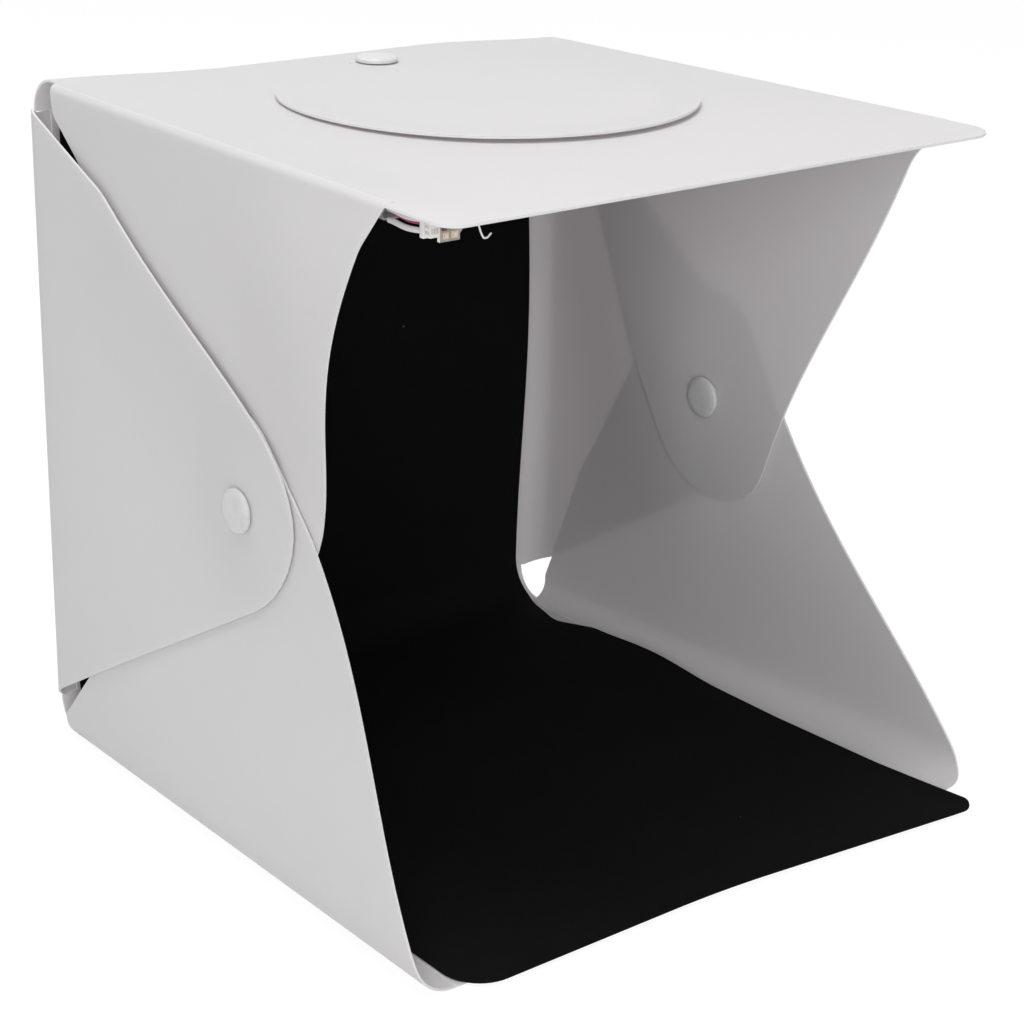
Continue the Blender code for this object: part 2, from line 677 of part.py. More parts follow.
def build_lid():
    reach = math.hypot(LID_SNAP_X - WINDOW_X, LID_SNAP_Y - WINDOW_Y)
    toward = math.atan2(LID_SNAP_Y - WINDOW_Y, LID_SNAP_X - WINDOW_X)
    wide = math.acos((reach ** 2 + LID_RADIUS ** 2 - LID_EAR ** 2) / (2 * reach * LID_RADIUS))
    ear = math.pi - math.acos((reach ** 2 + LID_EAR ** 2 - LID_RADIUS ** 2) / (2 * reach * LID_EAR))
    disc = arc(WINDOW_X, WINDOW_Y, LID_RADIUS, toward + wide,
               toward - wide + 2 * math.pi, 2 * ROUND_SEGMENTS)
    tab = arc(LID_SNAP_X, LID_SNAP_Y, LID_EAR, toward - ear, toward + ear, 2 * ARC_STEPS)
    outline = disc + tab[1:-1]
    pivot = (LID_SNAP_X, LID_SNAP_Y, HEIGHT)
    lines = grid_lines(-LID_RADIUS, LID_RADIUS + LID_RADIUS, 2 * GRID)
    lid = sheet("window_lid", [outline], lid_mid, [], "lid", pivot, lines, lines)
    lid_top = HEIGHT + FIT_GAP + SHEET
    bore(lid, PIN_HOLE, (LID_SNAP_X, LID_SNAP_Y, lid_top), (0, 0, 1))
    pin = 2 * SHEET + FIT_GAP + 2 * SNAP_GAP + SOCKET_HEIGHT / 2
    lathe("lid_cap", cap_profile(pin), (LID_SNAP_X, LID_SNAP_Y, lid_top + SNAP_GAP),
          (0, 0, 1), ROUND_SEGMENTS, "cap", pivot)
    lathe("lid_socket", socket_profile(PIN_HOLE), (LID_SNAP_X, LID_SNAP_Y, CEILING - SNAP_GAP),
          (0, 0, -1), SMALL_SEGMENTS, "cap", (0, REAR_HINGE_Y, CEILING_MID))


def build_backdrop():
    rise = BACKDROP_TOP - SHEET - FIT_GAP - BACKDROP_SHEET / 2 - BACKDROP_SWEEP
    back = DEPTH / 2 - SHEET - FIT_GAP - PAD_SHEET - FIT_GAP - BACKDROP_SHEET / 2
    turn = back - BACKDROP_SWEEP - BACKDROP_FRONT
    length = turn + BACKDROP_SWEEP * QUARTER + rise
    corners = box_outline(-BACKDROP_HALF_WIDTH, BACKDROP_HALF_WIDTH, 0, length)
    outline = rounded(corners, (BACKDROP_ROUND, BACKDROP_ROUND, BACKDROP_ROUND, BACKDROP_ROUND))
    hump_from = HUMP_START - BACKDROP_FRONT
    hump = [hump_from + (HUMP_END - HUMP_START) * n / 6 for n in range(7)]
    sweep = [turn + BACKDROP_SWEEP * QUARTER * n / 6 for n in range(7)]
    stand = [turn + BACKDROP_SWEEP * QUARTER + rise * n / 10 for n in range(1, 10)]
    sheet("backdrop", [outline], backdrop_mid, [], "backdrop", (0, 0, 0), (),
          hump + sweep + stand, BACKDROP_SHEET)
    pad_y = DEPTH / 2 - SHEET - FIT_GAP - PAD_SHEET / 2
    pad_top = HIGH_HINGE_Z - SCORE_SETBACK - FIT_GAP
    for side, word in ((-1, "left"), (1, "right")):
        edge = side * (BACKDROP_HALF_WIDTH - PAD_INSET)
        pad = box_outline(edge - PAD_WIDTH / 2, edge + PAD_WIDTH / 2, pad_top - PAD_HEIGHT, pad_top)
        sheet("backdrop_pad_" + word, [pad], upright(pad_y), [], "pad",
              (0, REAR_MID, LOW_HINGE_Z), (), (), PAD_SHEET)


def build_sleeve(origin):
    """A flat tube, open at both ends."""
    top = CEILING - FIT_GAP
    rims = []
    solid = bmesh.new()
    for inset in (0, SLEEVE_WALL):
        frame = box_outline(SLEEVE_X + inset, SLEEVE_X + SLEEVE_WIDTH - inset,
                            top - SLEEVE_HEIGHT + inset, top - inset)
        for y in (SLEEVE_FRONT, SLEEVE_BACK):
            rims.append([solid.verts.new((x, y, z)) for x, z in frame])
    outer_front, outer_back, inner_front, inner_back = rims
    for low, high in ((outer_front, outer_back), (inner_front, inner_back),
                      (outer_front, inner_front), (outer_back, inner_back)):
        for n in range(4):
            m = (n + 1) % 4
            solid.faces.new([low[n], low[m], high[m], high[n]])
    finish("led_sleeve", solid, origin, "sleeve")


def build_strip(origin):
    """The light strip with its row of raised chips, as one body."""
    room = SLEEVE_WALL + FIT_GAP
    left = SLEEVE_X + room
    right = SLEEVE_X + SLEEVE_WIDTH - room
    high = CEILING - FIT_GAP - room
    low = high - STRIP_SHEET
    front = SLEEVE_FRONT + CHIP_SIZE / 2
    back = SLEEVE_BACK - CHIP_SIZE / 2
    pitch = (back - front) / CHIP_COUNT
    middle = (left + right) / 2
    lines_x = [middle - CHIP_SIZE / 2, middle + CHIP_SIZE / 2]
    centres = [front + pitch * (n + 1 / 2) for n in range(CHIP_COUNT)]
    lines_y = [c + half for c in centres for half in (-CHIP_SIZE / 2, CHIP_SIZE / 2)]
    plan = plan_face([box_outline(left, right, front, back)], lines_x, lines_y)
    for vert in plan.verts:
        vert.co.z = low
    chips = []
    for face in plan.faces:
        at = face.calc_center_median()
        if abs(at.x - middle) < TINY and min(abs(at.y - c) for c in centres) < TINY:
            chips.append(face)
    raised = bmesh.ops.extrude_discrete_faces(plan, faces=chips)
    chip_verts = list({v for f in raised["faces"] for v in f.verts})
    bmesh.ops.translate(plan, verts=chip_verts, vec=(0, 0, -CHIP_HEIGHT))
    rim = [e for e in plan.edges if len(e.link_faces) == 1]
    wall = bmesh.ops.extrude_edge_only(plan, edges=rim)
    high_verts = [v for v in wall["geom"] if isinstance(v, bmesh.types.BMVert)]
    bmesh.ops.translate(plan, verts=high_verts, vec=(0, 0, STRIP_SHEET))
    bmesh.ops.holes_fill(plan, edges=[e for e in plan.edges if len(e.link_faces) == 1], sides=0)
    finish("led_strip", plan, origin, "strip")


def build_leads(origin):
    middle = SLEEVE_X + SLEEVE_WIDTH / 4
    mid_z = CEILING - FIT_GAP - PLUG_HEIGHT / 2
    start = SLEEVE_FRONT - FIT_GAP
    end = PLUG_BACK + FIT_GAP
    leads = (("lead_white_upper", LEAD_RADIUS, LEAD_PITCH, "white_lead"),
             ("lead_red", RED_LEAD_RADIUS, 0, "red_lead"),
             ("lead_white_lower", LEAD_RADIUS, -LEAD_PITCH, "white_lead"))
    for name, radius, rise, colour in leads:
        path = []
        for n in range(9):
            share = n / 8
            sag = LEAD_SAG * math.sin(math.pi * share) ** 2
            x = middle + (PLUG_X - middle) * ease(share)
            path.append((x, start + (end - start) * share, mid_z + rise - sag))
        tube(name, path, radius, colour, origin)

    top = CEILING - FIT_GAP
    plug = box_outline(PLUG_FRONT, PLUG_BACK, top - PLUG_HEIGHT, top)
    sheet("lead_plug", [plug], facing_side(PLUG_X), [], "white_lead", origin, (), (), PLUG_WIDTH)
    low = top - BOARD_HEIGHT
    board = [(BOARD_LEFT, top), (BOARD_LEFT, low), (BOARD_RIGHT - BOARD_NOTCH, low),
             (BOARD_RIGHT - BOARD_NOTCH, low + BOARD_NOTCH_HEIGHT),
             (BOARD_RIGHT, low + BOARD_NOTCH_HEIGHT + BOARD_NOTCH), (BOARD_RIGHT, top)]
    sheet("control_board", [board], upright(BOARD_Y), [], "board", origin, (), (), BOARD_SHEET)

    path = []
    for n in range(13):
        share = n / 12
        drop = ease((share - 1 / 4) * 2) * TAIL_DROP - ease((share - 5 / 6) * 6) * TAIL_DROP / 8
        x = BOARD_RIGHT + FIT_GAP + TAIL_REACH * share
        path.append((x, BOARD_Y, top - TAIL_RADIUS - FIT_GAP - drop))
    tube("lead_tail", path, TAIL_RADIUS, "white_lead", origin)


def build():
    clear_scene()
    build_panels()
    build_spines()
    for side, word in ((-1, "left"), (1, "right")):
        build_flaps(side, word)
        build_snaps(side, word)
    build_lid()
    build_backdrop()
    top_hinge = (0, REAR_HINGE_Y, CEILING_MID)
    build_sleeve(top_hinge)
    build_strip(top_hinge)
    build_leads(top_hinge)


build()
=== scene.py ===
"""The looks of a foldable light tent: translucent white sheet, black backdrop, light strip."""
import math

import bmesh
import bpy
from mathutils import Matrix, Vector


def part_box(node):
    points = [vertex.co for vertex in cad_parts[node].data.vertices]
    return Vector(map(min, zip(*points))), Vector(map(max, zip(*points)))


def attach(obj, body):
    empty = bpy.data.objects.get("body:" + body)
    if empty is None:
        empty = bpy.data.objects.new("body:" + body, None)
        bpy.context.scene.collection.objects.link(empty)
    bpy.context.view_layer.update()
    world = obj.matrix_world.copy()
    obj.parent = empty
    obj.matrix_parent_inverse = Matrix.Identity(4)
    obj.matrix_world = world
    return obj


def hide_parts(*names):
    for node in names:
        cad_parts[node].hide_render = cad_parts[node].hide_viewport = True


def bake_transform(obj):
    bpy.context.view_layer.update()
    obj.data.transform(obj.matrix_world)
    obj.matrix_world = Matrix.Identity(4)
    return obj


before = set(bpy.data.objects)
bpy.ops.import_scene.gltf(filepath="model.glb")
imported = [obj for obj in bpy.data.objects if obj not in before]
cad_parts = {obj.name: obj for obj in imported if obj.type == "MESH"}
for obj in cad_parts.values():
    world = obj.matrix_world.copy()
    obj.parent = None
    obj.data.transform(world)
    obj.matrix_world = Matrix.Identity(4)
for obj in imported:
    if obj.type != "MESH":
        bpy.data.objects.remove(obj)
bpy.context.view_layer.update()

# Sizes that the frame gives
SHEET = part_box("base_panel")[1].z
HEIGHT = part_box("top_panel")[1].z
VISOR_SHY = 0.0008
HALF_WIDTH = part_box("top_panel")[1].x + VISOR_SHY
FRONT_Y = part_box("base_panel")[0].y
REAR_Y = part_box("back_panel")[1].y
DEPTH = REAR_Y - FRONT_Y
MIDDLE_Y = (REAR_Y + FRONT_Y) / 2
SCORE_LIP = 0.00015
BASE_HINGE_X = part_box("base_panel")[1].x + SCORE_LIP
BACK_HINGE_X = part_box("back_panel")[1].x + SCORE_LIP
SPINE_HALF_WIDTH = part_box("top_spine")[1].x
VISOR_HALF_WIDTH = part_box("top_panel")[1].x
VISOR_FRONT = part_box("top_panel")[0].y - MIDDLE_Y
BACKDROP_LOW, BACKDROP_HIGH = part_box("backdrop")
BACKDROP_FRONT = BACKDROP_LOW.y - MIDDLE_Y
CAP_RADIUS = (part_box("outer_cap_right")[1].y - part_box("outer_cap_right")[0].y) / 2

# Folds and layers, in metres
TOP_FOLD = 0.0025
BASE_FOLD = 0.008
BACK_FOLD = 0.0114
BASE_SPREAD = 0.0072
REAR_BEND = 0.012
LAYER_GAP = 0.0004
FIT_GAP = 0.0003
SCORE = 0.0005
SCORE_SHUT = 0.00004
QUARTER = math.pi / 2
FLOOR_MID = SHEET / 2
CEILING_MID = HEIGHT - SHEET / 2
CEILING = HEIGHT - SHEET
REAR_MID = DEPTH / 2 - SHEET / 2
TOP_HINGE_X = HALF_WIDTH - SHEET / 2 - 2 * (SHEET + LAYER_GAP) - TOP_FOLD
REAR_HINGE_Y = REAR_MID - REAR_BEND
LOW_HINGE_Z = FLOOR_MID + REAR_BEND
HIGH_HINGE_Z = CEILING_MID - REAR_BEND

# The sides are drawn inward by the press studs
BOW = 0.0125
BOW_FADE_START = 0.008
BUMP = 0.0024
BUMP_SPREAD = 0.032
SNAP_HEIGHT = HEIGHT / 2

# Outlines as shares of (DEPTH, HEIGHT) in the side view, with the feet along the fold. The real
# sheet has settled a little differently on its two sides.
BASE_FEET_SHARES = (-0.5, 0.4445)
BASE_FLAP_SHARES = {
    "left": ((-0.500, 0.048), (0.011, 0.707), (0.357, 0.144), (0.4487, 0.042)),
    "right": ((-0.524, 0.021), (0.008, 0.760), (0.357, 0.263), (0.4487, 0.042))}
BASE_FLAP_ROUNDS = {"left": (0.015, 0.019, 0.050, 0.006), "right": (0.006, 0.0288, 0.050, 0.006)}
TOP_FEET_SHARES = {"left": (-0.385, 0.424), "right": (-0.4135, 0.424)}
TOP_REAR_SHARES = ((0.322, 0.720), (0.330, 0.890), (0.4165, 0.9585))
TOP_FLAP_SHARES = {
    "left": ((-0.338, 0.935), (-0.018, 0.130)) + TOP_REAR_SHARES,
    "right": ((-0.3475, 0.935), (-0.0415, 0.1831)) + TOP_REAR_SHARES}
TOP_FLAP_ROUNDS = {
    "left": (0.020, 0.033, 0.040, 0.020, 0.006), "right": (0.020, 0.0306, 0.040, 0.020, 0.006)}
BACK_FEET_SHARES = (0.0538, 0.9470)
BACK_FLAP_SHARES = {
    "left": ((0.4904, 0.0538), (0.465, 0.0765), (-0.242, 0.4815), (0.2743, 0.8797),
             (0.468, 0.9590), (0.4904, 0.9470)),
    "right": ((0.4904, 0.0538), (0.440, 0.0785), (-0.2748, 0.502), (0.1965, 0.7585),
              (0.468, 0.9590), (0.4904, 0.9470))}
BACK_FLAP_ROUNDS = {
    "left": (0, 0.004, 0.0378, 0.030, 0.003, 0), "right": (0, 0.020, 0.029, 0.050, 0.003, 0)}
VISOR_ROUNDS = (0.013, 0.006)
VISOR_RIGHT_SHARE = 0.957

# Window and lid
LID_SNAP = (sum(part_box("lid_cap"), Vector()) / 2).xy - Vector((0, MIDDLE_Y))
LID_RADIUS = (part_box("window_lid")[1].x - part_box("window_lid")[0].x) / 2
LID_CENTRE = Vector((
    (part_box("window_lid")[1].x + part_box("window_lid")[0].x) / 2,
    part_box("window_lid")[0].y + LID_RADIUS - MIDDLE_Y))
LID_LAP = 0.010
WINDOW_RADIUS = LID_RADIUS - LID_LAP
PIN_HOLE = 0.0023
LID_LIFT = 0.0012
LID_EAR = 0.0095

# How the real sheet sags at the top's four corners: front left, front right, rear right, rear left
CORNER_SAG = (-0.0001, -0.0002, -0.0030, 0.0030)
REAR_FLAT = (-0.036, 0.046)

# The left side's loose front edge stands out between the stud and the top
SIDE_BULGE = 0.0058
SIDE_BULGE_POWER = 1.1
SIDE_BULGE_REACH = 0.055
SIDE_BULGE_START = 0.080

# Mesh fineness
GRID = 0.005
ARC_STEPS = 12
FOLD_STEPS = 8
SPINE_STEPS = 16
WINDOW_STEPS = 96
LID_STEPS = 120
SMALL_STEPS = 24
CAP_STEPS = 64
CAP_EDGE_STEPS = 10
TUBE_SIDES = 16
TINY = 0.00001
SMOOTH_ANGLE = math.radians(38)


# Shader maths
class Signal:
    """A shader value or colour that is used in Python sums."""

    def __init__(self, nodes, socket):
        self.nodes = nodes
        self.socket = socket

    def maths(self, operation, first, second):
        return self.nodes.node("ShaderNodeMath", {"operation": operation}, {0: first, 1: second})

    def __add__(self, other):
        return self.maths("ADD", self, other)

    def __radd__(self, other):
        return self.maths("ADD", other, self)

    def __sub__(self, other):
        return self.maths("SUBTRACT", self, other)

    def __rsub__(self, other):
        return self.maths("SUBTRACT", other, self)

    def __mul__(self, other):
        return self.maths("MULTIPLY", self, other)

    def __rmul__(self, other):
        return self.maths("MULTIPLY", other, self)

    def most(self, other):
        return self.maths("MAXIMUM", self, other)


class Nodes:
    """The nodes of one material or of the room, all made and linked in one way."""

    def __init__(self, tree):
        self.tree = tree

    def put(self, socket, value):
        if isinstance(value, Signal):
            self.tree.links.new(value.socket, socket)
        else:
            socket.default_value = value

    def node(self, kind, settings=None, values=None, output=0):
        made = self.tree.nodes.new(kind)
        for name, value in (settings or {}).items():
            setattr(made, name, value)
        for name, value in (values or {}).items():
            self.put(made.inputs[name], value)
        return Signal(self, made.outputs[output])

    def surface(self, output, share, first, second):
        """Ends the tree in a share between two shaders."""
        both = self.node("ShaderNodeMixShader", None, {0: share, 1: first, 2: second}, "Shader")
        self.put(self.tree.nodes[output].inputs["Surface"], both)


class Paint(Nodes):
    """One material, with its shader and the nodes that feed it."""

    def __init__(self, name, colour, roughness, **constants):
        self.material = bpy.data.materials.new(name)
        self.material.use_nodes = True
        self.material.diffuse_color = (*colour, 1)
        super().__init__(self.material.node_tree)
        self.shader = self.tree.nodes["Principled BSDF"]
        self.set("Base Color", (*colour, 1))
        self.set("Roughness", roughness)
        for socket, value in constants.items():
            self.set(socket.replace("_", " "), value)

    def set(self, name, value):
        self.put(self.shader.inputs[name], value)

    def place(self):
        return self.node("ShaderNodeTexCoord", output="Object")

    def noise(self, scale, detail=2.0, rough=0.5, stretch=None):
        at = self.place()
        if stretch:
            at = self.node("ShaderNodeMapping", None, {"Vector": at, "Scale": stretch})
        values = {"Vector": at, "Scale": scale, "Detail": detail, "Roughness": rough}
        return self.node("ShaderNodeTexNoise", None, values, "Fac")

    def ramp(self, signal, low, high):
        """0 below low, 1 above high, smooth between."""
        values = {"Value": signal, "From Min": low, "From Max": high}
        return self.node("ShaderNodeMapRange", {"interpolation_type": "SMOOTHSTEP"}, values)

    def mix(self, share, first, second):
        """A colour between two colours."""
        values = {0: share, 6: first, 7: second}
        return self.node("ShaderNodeMix", {"data_type": "RGBA"}, values, 2)

    def share_with(self, share, other):
        """Gives a share of the surface to another shader."""
        self.surface("Material Output", share, Signal(self, self.shader.outputs["BSDF"]), other)

    def translucent(self, share, colour):
        """Lets a share of the light through, scattered and tinted."""
        values = {"Color": (*colour, 1)}
        self.share_with(share, self.node("ShaderNodeBsdfTranslucent", None, values, "BSDF"))

    def bump(self, height, depth, strength=1.0):
        """Relief of the given depth in metres."""
        values = {"Height": height, "Distance": depth, "Strength": strength}
        self.set("Normal", self.node("ShaderNodeBump", None, values))


def tint(base, factor):
    return tuple(min(c * factor, 1) for c in base) + (1,)


WHITE_SHEET = (0.80, 0.80, 0.802)
SHEET_THROUGH = (0.96, 0.89, 0.91)
PLASTIC_GLOW = (0.0012, 0.0011, 0.0012)


def sheet_paint(name, colour, roughness=0.46):
    """Translucent sheet with a fine matte tooth, cloudy body, faint scuffs and dust."""
    paint = Paint(name, colour, roughness, IOR=1.45, Specular_IOR_Level=0.35)
    cloud = paint.noise(22, 4, 0.6)
    scuff = paint.ramp(paint.noise(160, 3, 0.7, (1.0, 0.22, 1.0)), 0.66, 0.74)
    scuff = scuff * paint.ramp(paint.noise(14, 2), 0.52, 0.68)
    dust = paint.ramp(paint.noise(900, 1), 0.80, 0.84)
    body = paint.mix(cloud, tint(colour, 0.975), tint(colour, 1.02))
    body = paint.mix(scuff * 0.35, body, tint(colour, 0.93))
    paint.set("Base Color", paint.mix(dust * 0.6, body, tint(colour, 0.80)))
    tooth = paint.noise(2600, 2, 0.6)
    ripple = paint.noise(38, 2, 0.5)
    paint.set("Roughness", roughness - 0.05 + cloud * 0.10 + scuff * 0.12)
    paint.bump(tooth * 0.35 + ripple, 0.00022, 0.30)
    paint.translucent(0.24 + cloud * 0.04, SHEET_THROUGH)
    return paint.material


def cut_edge_paint():
    """The cut edge of the sheet, brighter because light leaves through it."""
    colour = (0.94, 0.94, 0.95)
    paint = Paint("cut_edge", colour, 0.5, Specular_IOR_Level=0.3)
    nick = paint.ramp(paint.noise(420, 3, 0.7), 0.60, 0.72)
    paint.set("Base Color", paint.mix(nick * 0.5, (*colour, 1), tint(colour, 0.88)))
    paint.bump(paint.noise(700, 2), 0.0001, 0.5)
    paint.translucent(0.30 + nick * 0.05, (0.98, 0.97, 0.98))
    return paint.material


def moulded_paint(name, colour, roughness):
    """Moulded plastic with a soft skin texture and rubbed high spots."""
    paint = Paint(name, colour, roughness, Subsurface_Weight=0.25,
                  Subsurface_Radius=PLASTIC_GLOW, Subsurface_Scale=1.0)
    skin = paint.noise(1500, 3, 0.6)
    rub = paint.ramp(paint.noise(260, 3, 0.6), 0.48, 0.70)
    paint.set("Base Color", paint.mix(rub, tint(colour, 1.0), tint(colour, 0.95)))
    paint.set("Roughness", roughness + rub * 0.14)
    paint.bump(skin, 0.00006, 0.6)
    return paint.material


def backdrop_paint():
    """Flat black sheet with a very fine tooth and a few specks of lint."""
    black = (0.0056, 0.0056, 0.0057)
    paint = Paint("backdrop_black", black, 0.86, Specular_IOR_Level=0.05)
    cloud = paint.noise(26, 3)
    speck_at = paint.node(
        "ShaderNodeTexVoronoi", {"feature": "F1"}, {"Vector": paint.place(), "Scale": 62.0},
        "Distance")
    speck = 1 - paint.ramp(speck_at, 0.012, 0.026)
    rare = paint.ramp(paint.noise(33, 1), 0.60, 0.63)
    body = paint.mix(cloud, tint(black, 0.8), tint(black, 1.25))
    paint.set("Base Color", paint.mix(speck * rare, body, (0.16, 0.16, 0.16, 1)))
    paint.set("Roughness", 0.82 + cloud * 0.1)
    paint.bump(paint.noise(2200, 2), 0.00012, 0.45)
    return paint.material


def pile_paint():
    """Looped pile of the hook-and-loop pads."""
    colour = (0.72, 0.72, 0.72)
    paint = Paint("loop_pile", colour, 0.95, Sheen_Weight=0.4)
    loops = paint.node(
        "ShaderNodeTexVoronoi", {"feature": "F1"}, {"Vector": paint.place(), "Scale": 1600.0},
        "Distance")
    paint.set("Base Color", paint.mix(loops, tint(colour, 0.7), tint(colour, 1.1)))
    paint.bump(loops, 0.0004, 0.8)
    return paint.material


def sleeve_paint():
    """Milky clear sleeve."""
    colour = (0.74, 0.76, 0.76)
    paint = Paint("sleeve_clear", colour, 0.28, Transmission_Weight=0.75, IOR=1.35)
    haze = paint.noise(420, 3, 0.6, (1, 0.15, 1))
    paint.set("Base Color", paint.mix(haze, tint(colour, 0.9), tint(colour, 1.1)))
    paint.set("Roughness", 0.22 + haze * 0.18)
    return paint.material


def insulation_paint(name, colour):
    """Smooth lead insulation with faint extrusion lines."""
    paint = Paint(name, colour, 0.36, Specular_IOR_Level=0.45)
    line = paint.noise(900, 2, 0.5, (1, 0.1, 1))
    paint.set("Base Color", paint.mix(line, tint(colour, 0.93), tint(colour, 1.05)))
    paint.set("Roughness", 0.30 + line * 0.12)
    return paint.material


def metal_paint(name, colour, roughness):
    """Solder or plated metal, a little uneven."""
    paint = Paint(name, colour, roughness, Metallic=1.0)
    uneven = paint.noise(900, 3, 0.6)
    paint.set("Base Color", paint.mix(uneven, tint(colour, 0.86), tint(colour, 1.08)))
    paint.set("Roughness", roughness - 0.06 + uneven * 0.16)
    paint.bump(uneven, 0.0001, 0.5)
    return paint.material


def board_paint():
    """Pale lacquered board with faint tracks under the lacquer."""
    colour = (0.38, 0.33, 0.28)
    paint = Paint("board_lacquer", colour, 0.38, Coat_Weight=0.3, Coat_Roughness=0.2)
    track = paint.ramp(paint.noise(520, 1, 0.2, (1, 1, 0.3)), 0.50, 0.54)
    grain = paint.noise(2200, 2)
    body = paint.mix(track, tint(colour, 0.90), tint(colour, 1.06))
    paint.set("Base Color", paint.mix(grain * 0.25, body, tint(colour, 0.8)))
    paint.bump(track, 0.00005, 0.5)
    return paint.material


def chip_paint():
    """The yellow phosphor face of a light chip."""
    colour = (0.86, 0.72, 0.22)
    paint = Paint("chip_phosphor", colour, 0.3, Coat_Weight=0.5, Coat_Roughness=0.1)
    grain = paint.noise(3000, 2)
    paint.set("Base Color", paint.mix(grain, tint(colour, 0.85), tint(colour, 1.05)))
    return paint.material


# The shape of the sheet
def clamp(value):
    return min(max(value, 0), 1)


def ease(value):
    share = clamp(value)
    return share * share * (3 - 2 * share)


def base_spread(y):
    """How much wider the base's fold is here than at its rear foot."""
    rear_foot = BASE_FEET_SHARES[1] * DEPTH
    return BASE_SPREAD * clamp((rear_foot - y) / (rear_foot + DEPTH / 2))


def bow(y, z):
    """How far a side layer is drawn inward of its upright place. Outward near the base."""
    wave = max(math.sin(math.pi * z / HEIGHT), 0)
    fade = ease((y - BOW_FADE_START) / (REAR_MID - BACK_FOLD - BOW_FADE_START))
    if z < SNAP_HEIGHT:
        return BOW * wave ** 2 * (1 - fade) - base_spread(y) * (1 - wave * wave)
    return BOW * wave ** 3 * (1 - fade)


def bump(y, z):
    """The outer layer's rise over the press stud, level under the cap."""
    away = math.hypot(y, z - SNAP_HEIGHT) - CAP_RADIUS
    return BUMP * math.cos(clamp(away / (BUMP_SPREAD - CAP_RADIUS)) * QUARTER) ** 2


def settled(point):
    """From the square box, centred in depth, to its place, with the real sheet's sag."""
    x, y, z = point
    right = clamp(x / (2 * HALF_WIDTH) + 0.5)
    rear = clamp(y / DEPTH + 0.5)
    front_left, front_right, rear_right, rear_left = CORNER_SAG
    front = front_left + (front_right - front_left) * right
    flat_left, flat_right = REAR_FLAT
    back = rear_left * ease((flat_left - x) / (flat_left + HALF_WIDTH))
    back += rear_right * ease((x - flat_right) / (HALF_WIDTH - flat_right))
    sag = (front + (back - front) * rear) * ease((z - SNAP_HEIGHT) / (HEIGHT - SNAP_HEIGHT))
    if x < -SIDE_BULGE_START:
        up = clamp((z - SNAP_HEIGHT) / (CEILING - TOP_FOLD - SNAP_HEIGHT))
        x -= SIDE_BULGE * math.sin(math.pi * up ** SIDE_BULGE_POWER) * ease(-y / SIDE_BULGE_REACH)
    return Vector((x, y + MIDDLE_Y, z + sag))


def bend(along, radius):
    """Distance from the fold line to (out, up) past a quarter-round fold."""
    angle = min(max(along, 0) / radius, QUARTER)
    beyond = max(along - radius * QUARTER, 0)
    return radius * math.sin(angle) + min(along, 0), radius * (1 - math.cos(angle)) + beyond


def unroll(rise, radius):
    """The distance from the fold line, along the sheet, of a point that stands this far off."""
    return radius * math.acos(max(1 - rise / radius, 0)) + max(rise - radius, 0)


def base_flap_mid(side):
    def mid(y, along):
        spread = base_spread(y)
        out, up = bend(along, BASE_FOLD + spread)
        z = FLOOR_MID + up
        return Vector((side * (BASE_HINGE_X + out - spread - bow(y, z)), y, z))
    return mid


def top_flap_mid(side):
    def mid(y, along):
        out, down = bend(along, TOP_FOLD)
        z = CEILING_MID - down
        return Vector((side * (TOP_HINGE_X + out - bow(y, z)), y, z))
    return mid


def back_flap_mid(side):
    def mid(z, along):
        out, ahead = bend(along, BACK_FOLD)
        y = REAR_MID - ahead
        return Vector((side * (BACK_HINGE_X + out - bow(y, z) + bump(y, z)), y, z))
    return mid


def low_spine_mid(x, along):
    out, up = bend(along, REAR_BEND)
    return Vector((x, REAR_HINGE_Y + out, FLOOR_MID + up))


def high_spine_mid(x, along):
    out, down = bend(along, REAR_BEND)
    return Vector((x, REAR_HINGE_Y + out, CEILING_MID - down))


def lid_mid(x, y):
    share = math.hypot(x - LID_SNAP.x, y - LID_SNAP.y) / (2 * LID_RADIUS)
    return Vector((x, y, HEIGHT + FIT_GAP + SHEET / 2 + LID_LIFT * share * share))


def level(z):
    return lambda x, y: Vector((x, y, z))


def upright(y):
    return lambda x, z: Vector((x, y, z))


# Mesh making
def arc(x, y, radius, start, end, steps):
    turns = [start + (end - start) * n / steps for n in range(steps + 1)]
    return [(x + radius * math.cos(t), y + radius * math.sin(t)) for t in turns]


def circle(x, y, radius, segments):
    return arc(x, y, radius, 0, 2 * math.pi, segments)[:-1]


def rounded(corners, radii):
    """A closed outline with each corner replaced by an arc of its radius."""
    outline = []
    for n, radius in enumerate(radii):
        here = Vector(corners[n])
        if radius == 0:
            outline.append(tuple(here))
            continue
        back = (Vector(corners[n - 1]) - here).normalized()
        ahead = (Vector(corners[(n + 1) % len(corners)]) - here).normalized()
        half = back.angle(ahead) / 2
        centre = here + (back + ahead).normalized() * radius / math.sin(half)
        first = here + back * radius / math.tan(half) - centre
        last = here + ahead * radius / math.tan(half) - centre
        start = math.atan2(first.y, first.x)
        sweep = (math.atan2(last.y, last.x) - start + math.pi) % (2 * math.pi) - math.pi
        outline += arc(centre.x, centre.y, radius, start, start + sweep, ARC_STEPS)
    return outline


def box_outline(a0, a1, b0, b1):
    return [(a0, b0), (a1, b0), (a1, b1), (a0, b1)]


def grid_lines(low, high, step=GRID):
    return [n * step for n in range(math.ceil(low / step + TINY), math.floor(high / step - TINY) + 1)]


def fold_lines(radius, steps=FOLD_STEPS):
    return [radius * QUARTER * n / steps for n in range(1, steps + 1)]


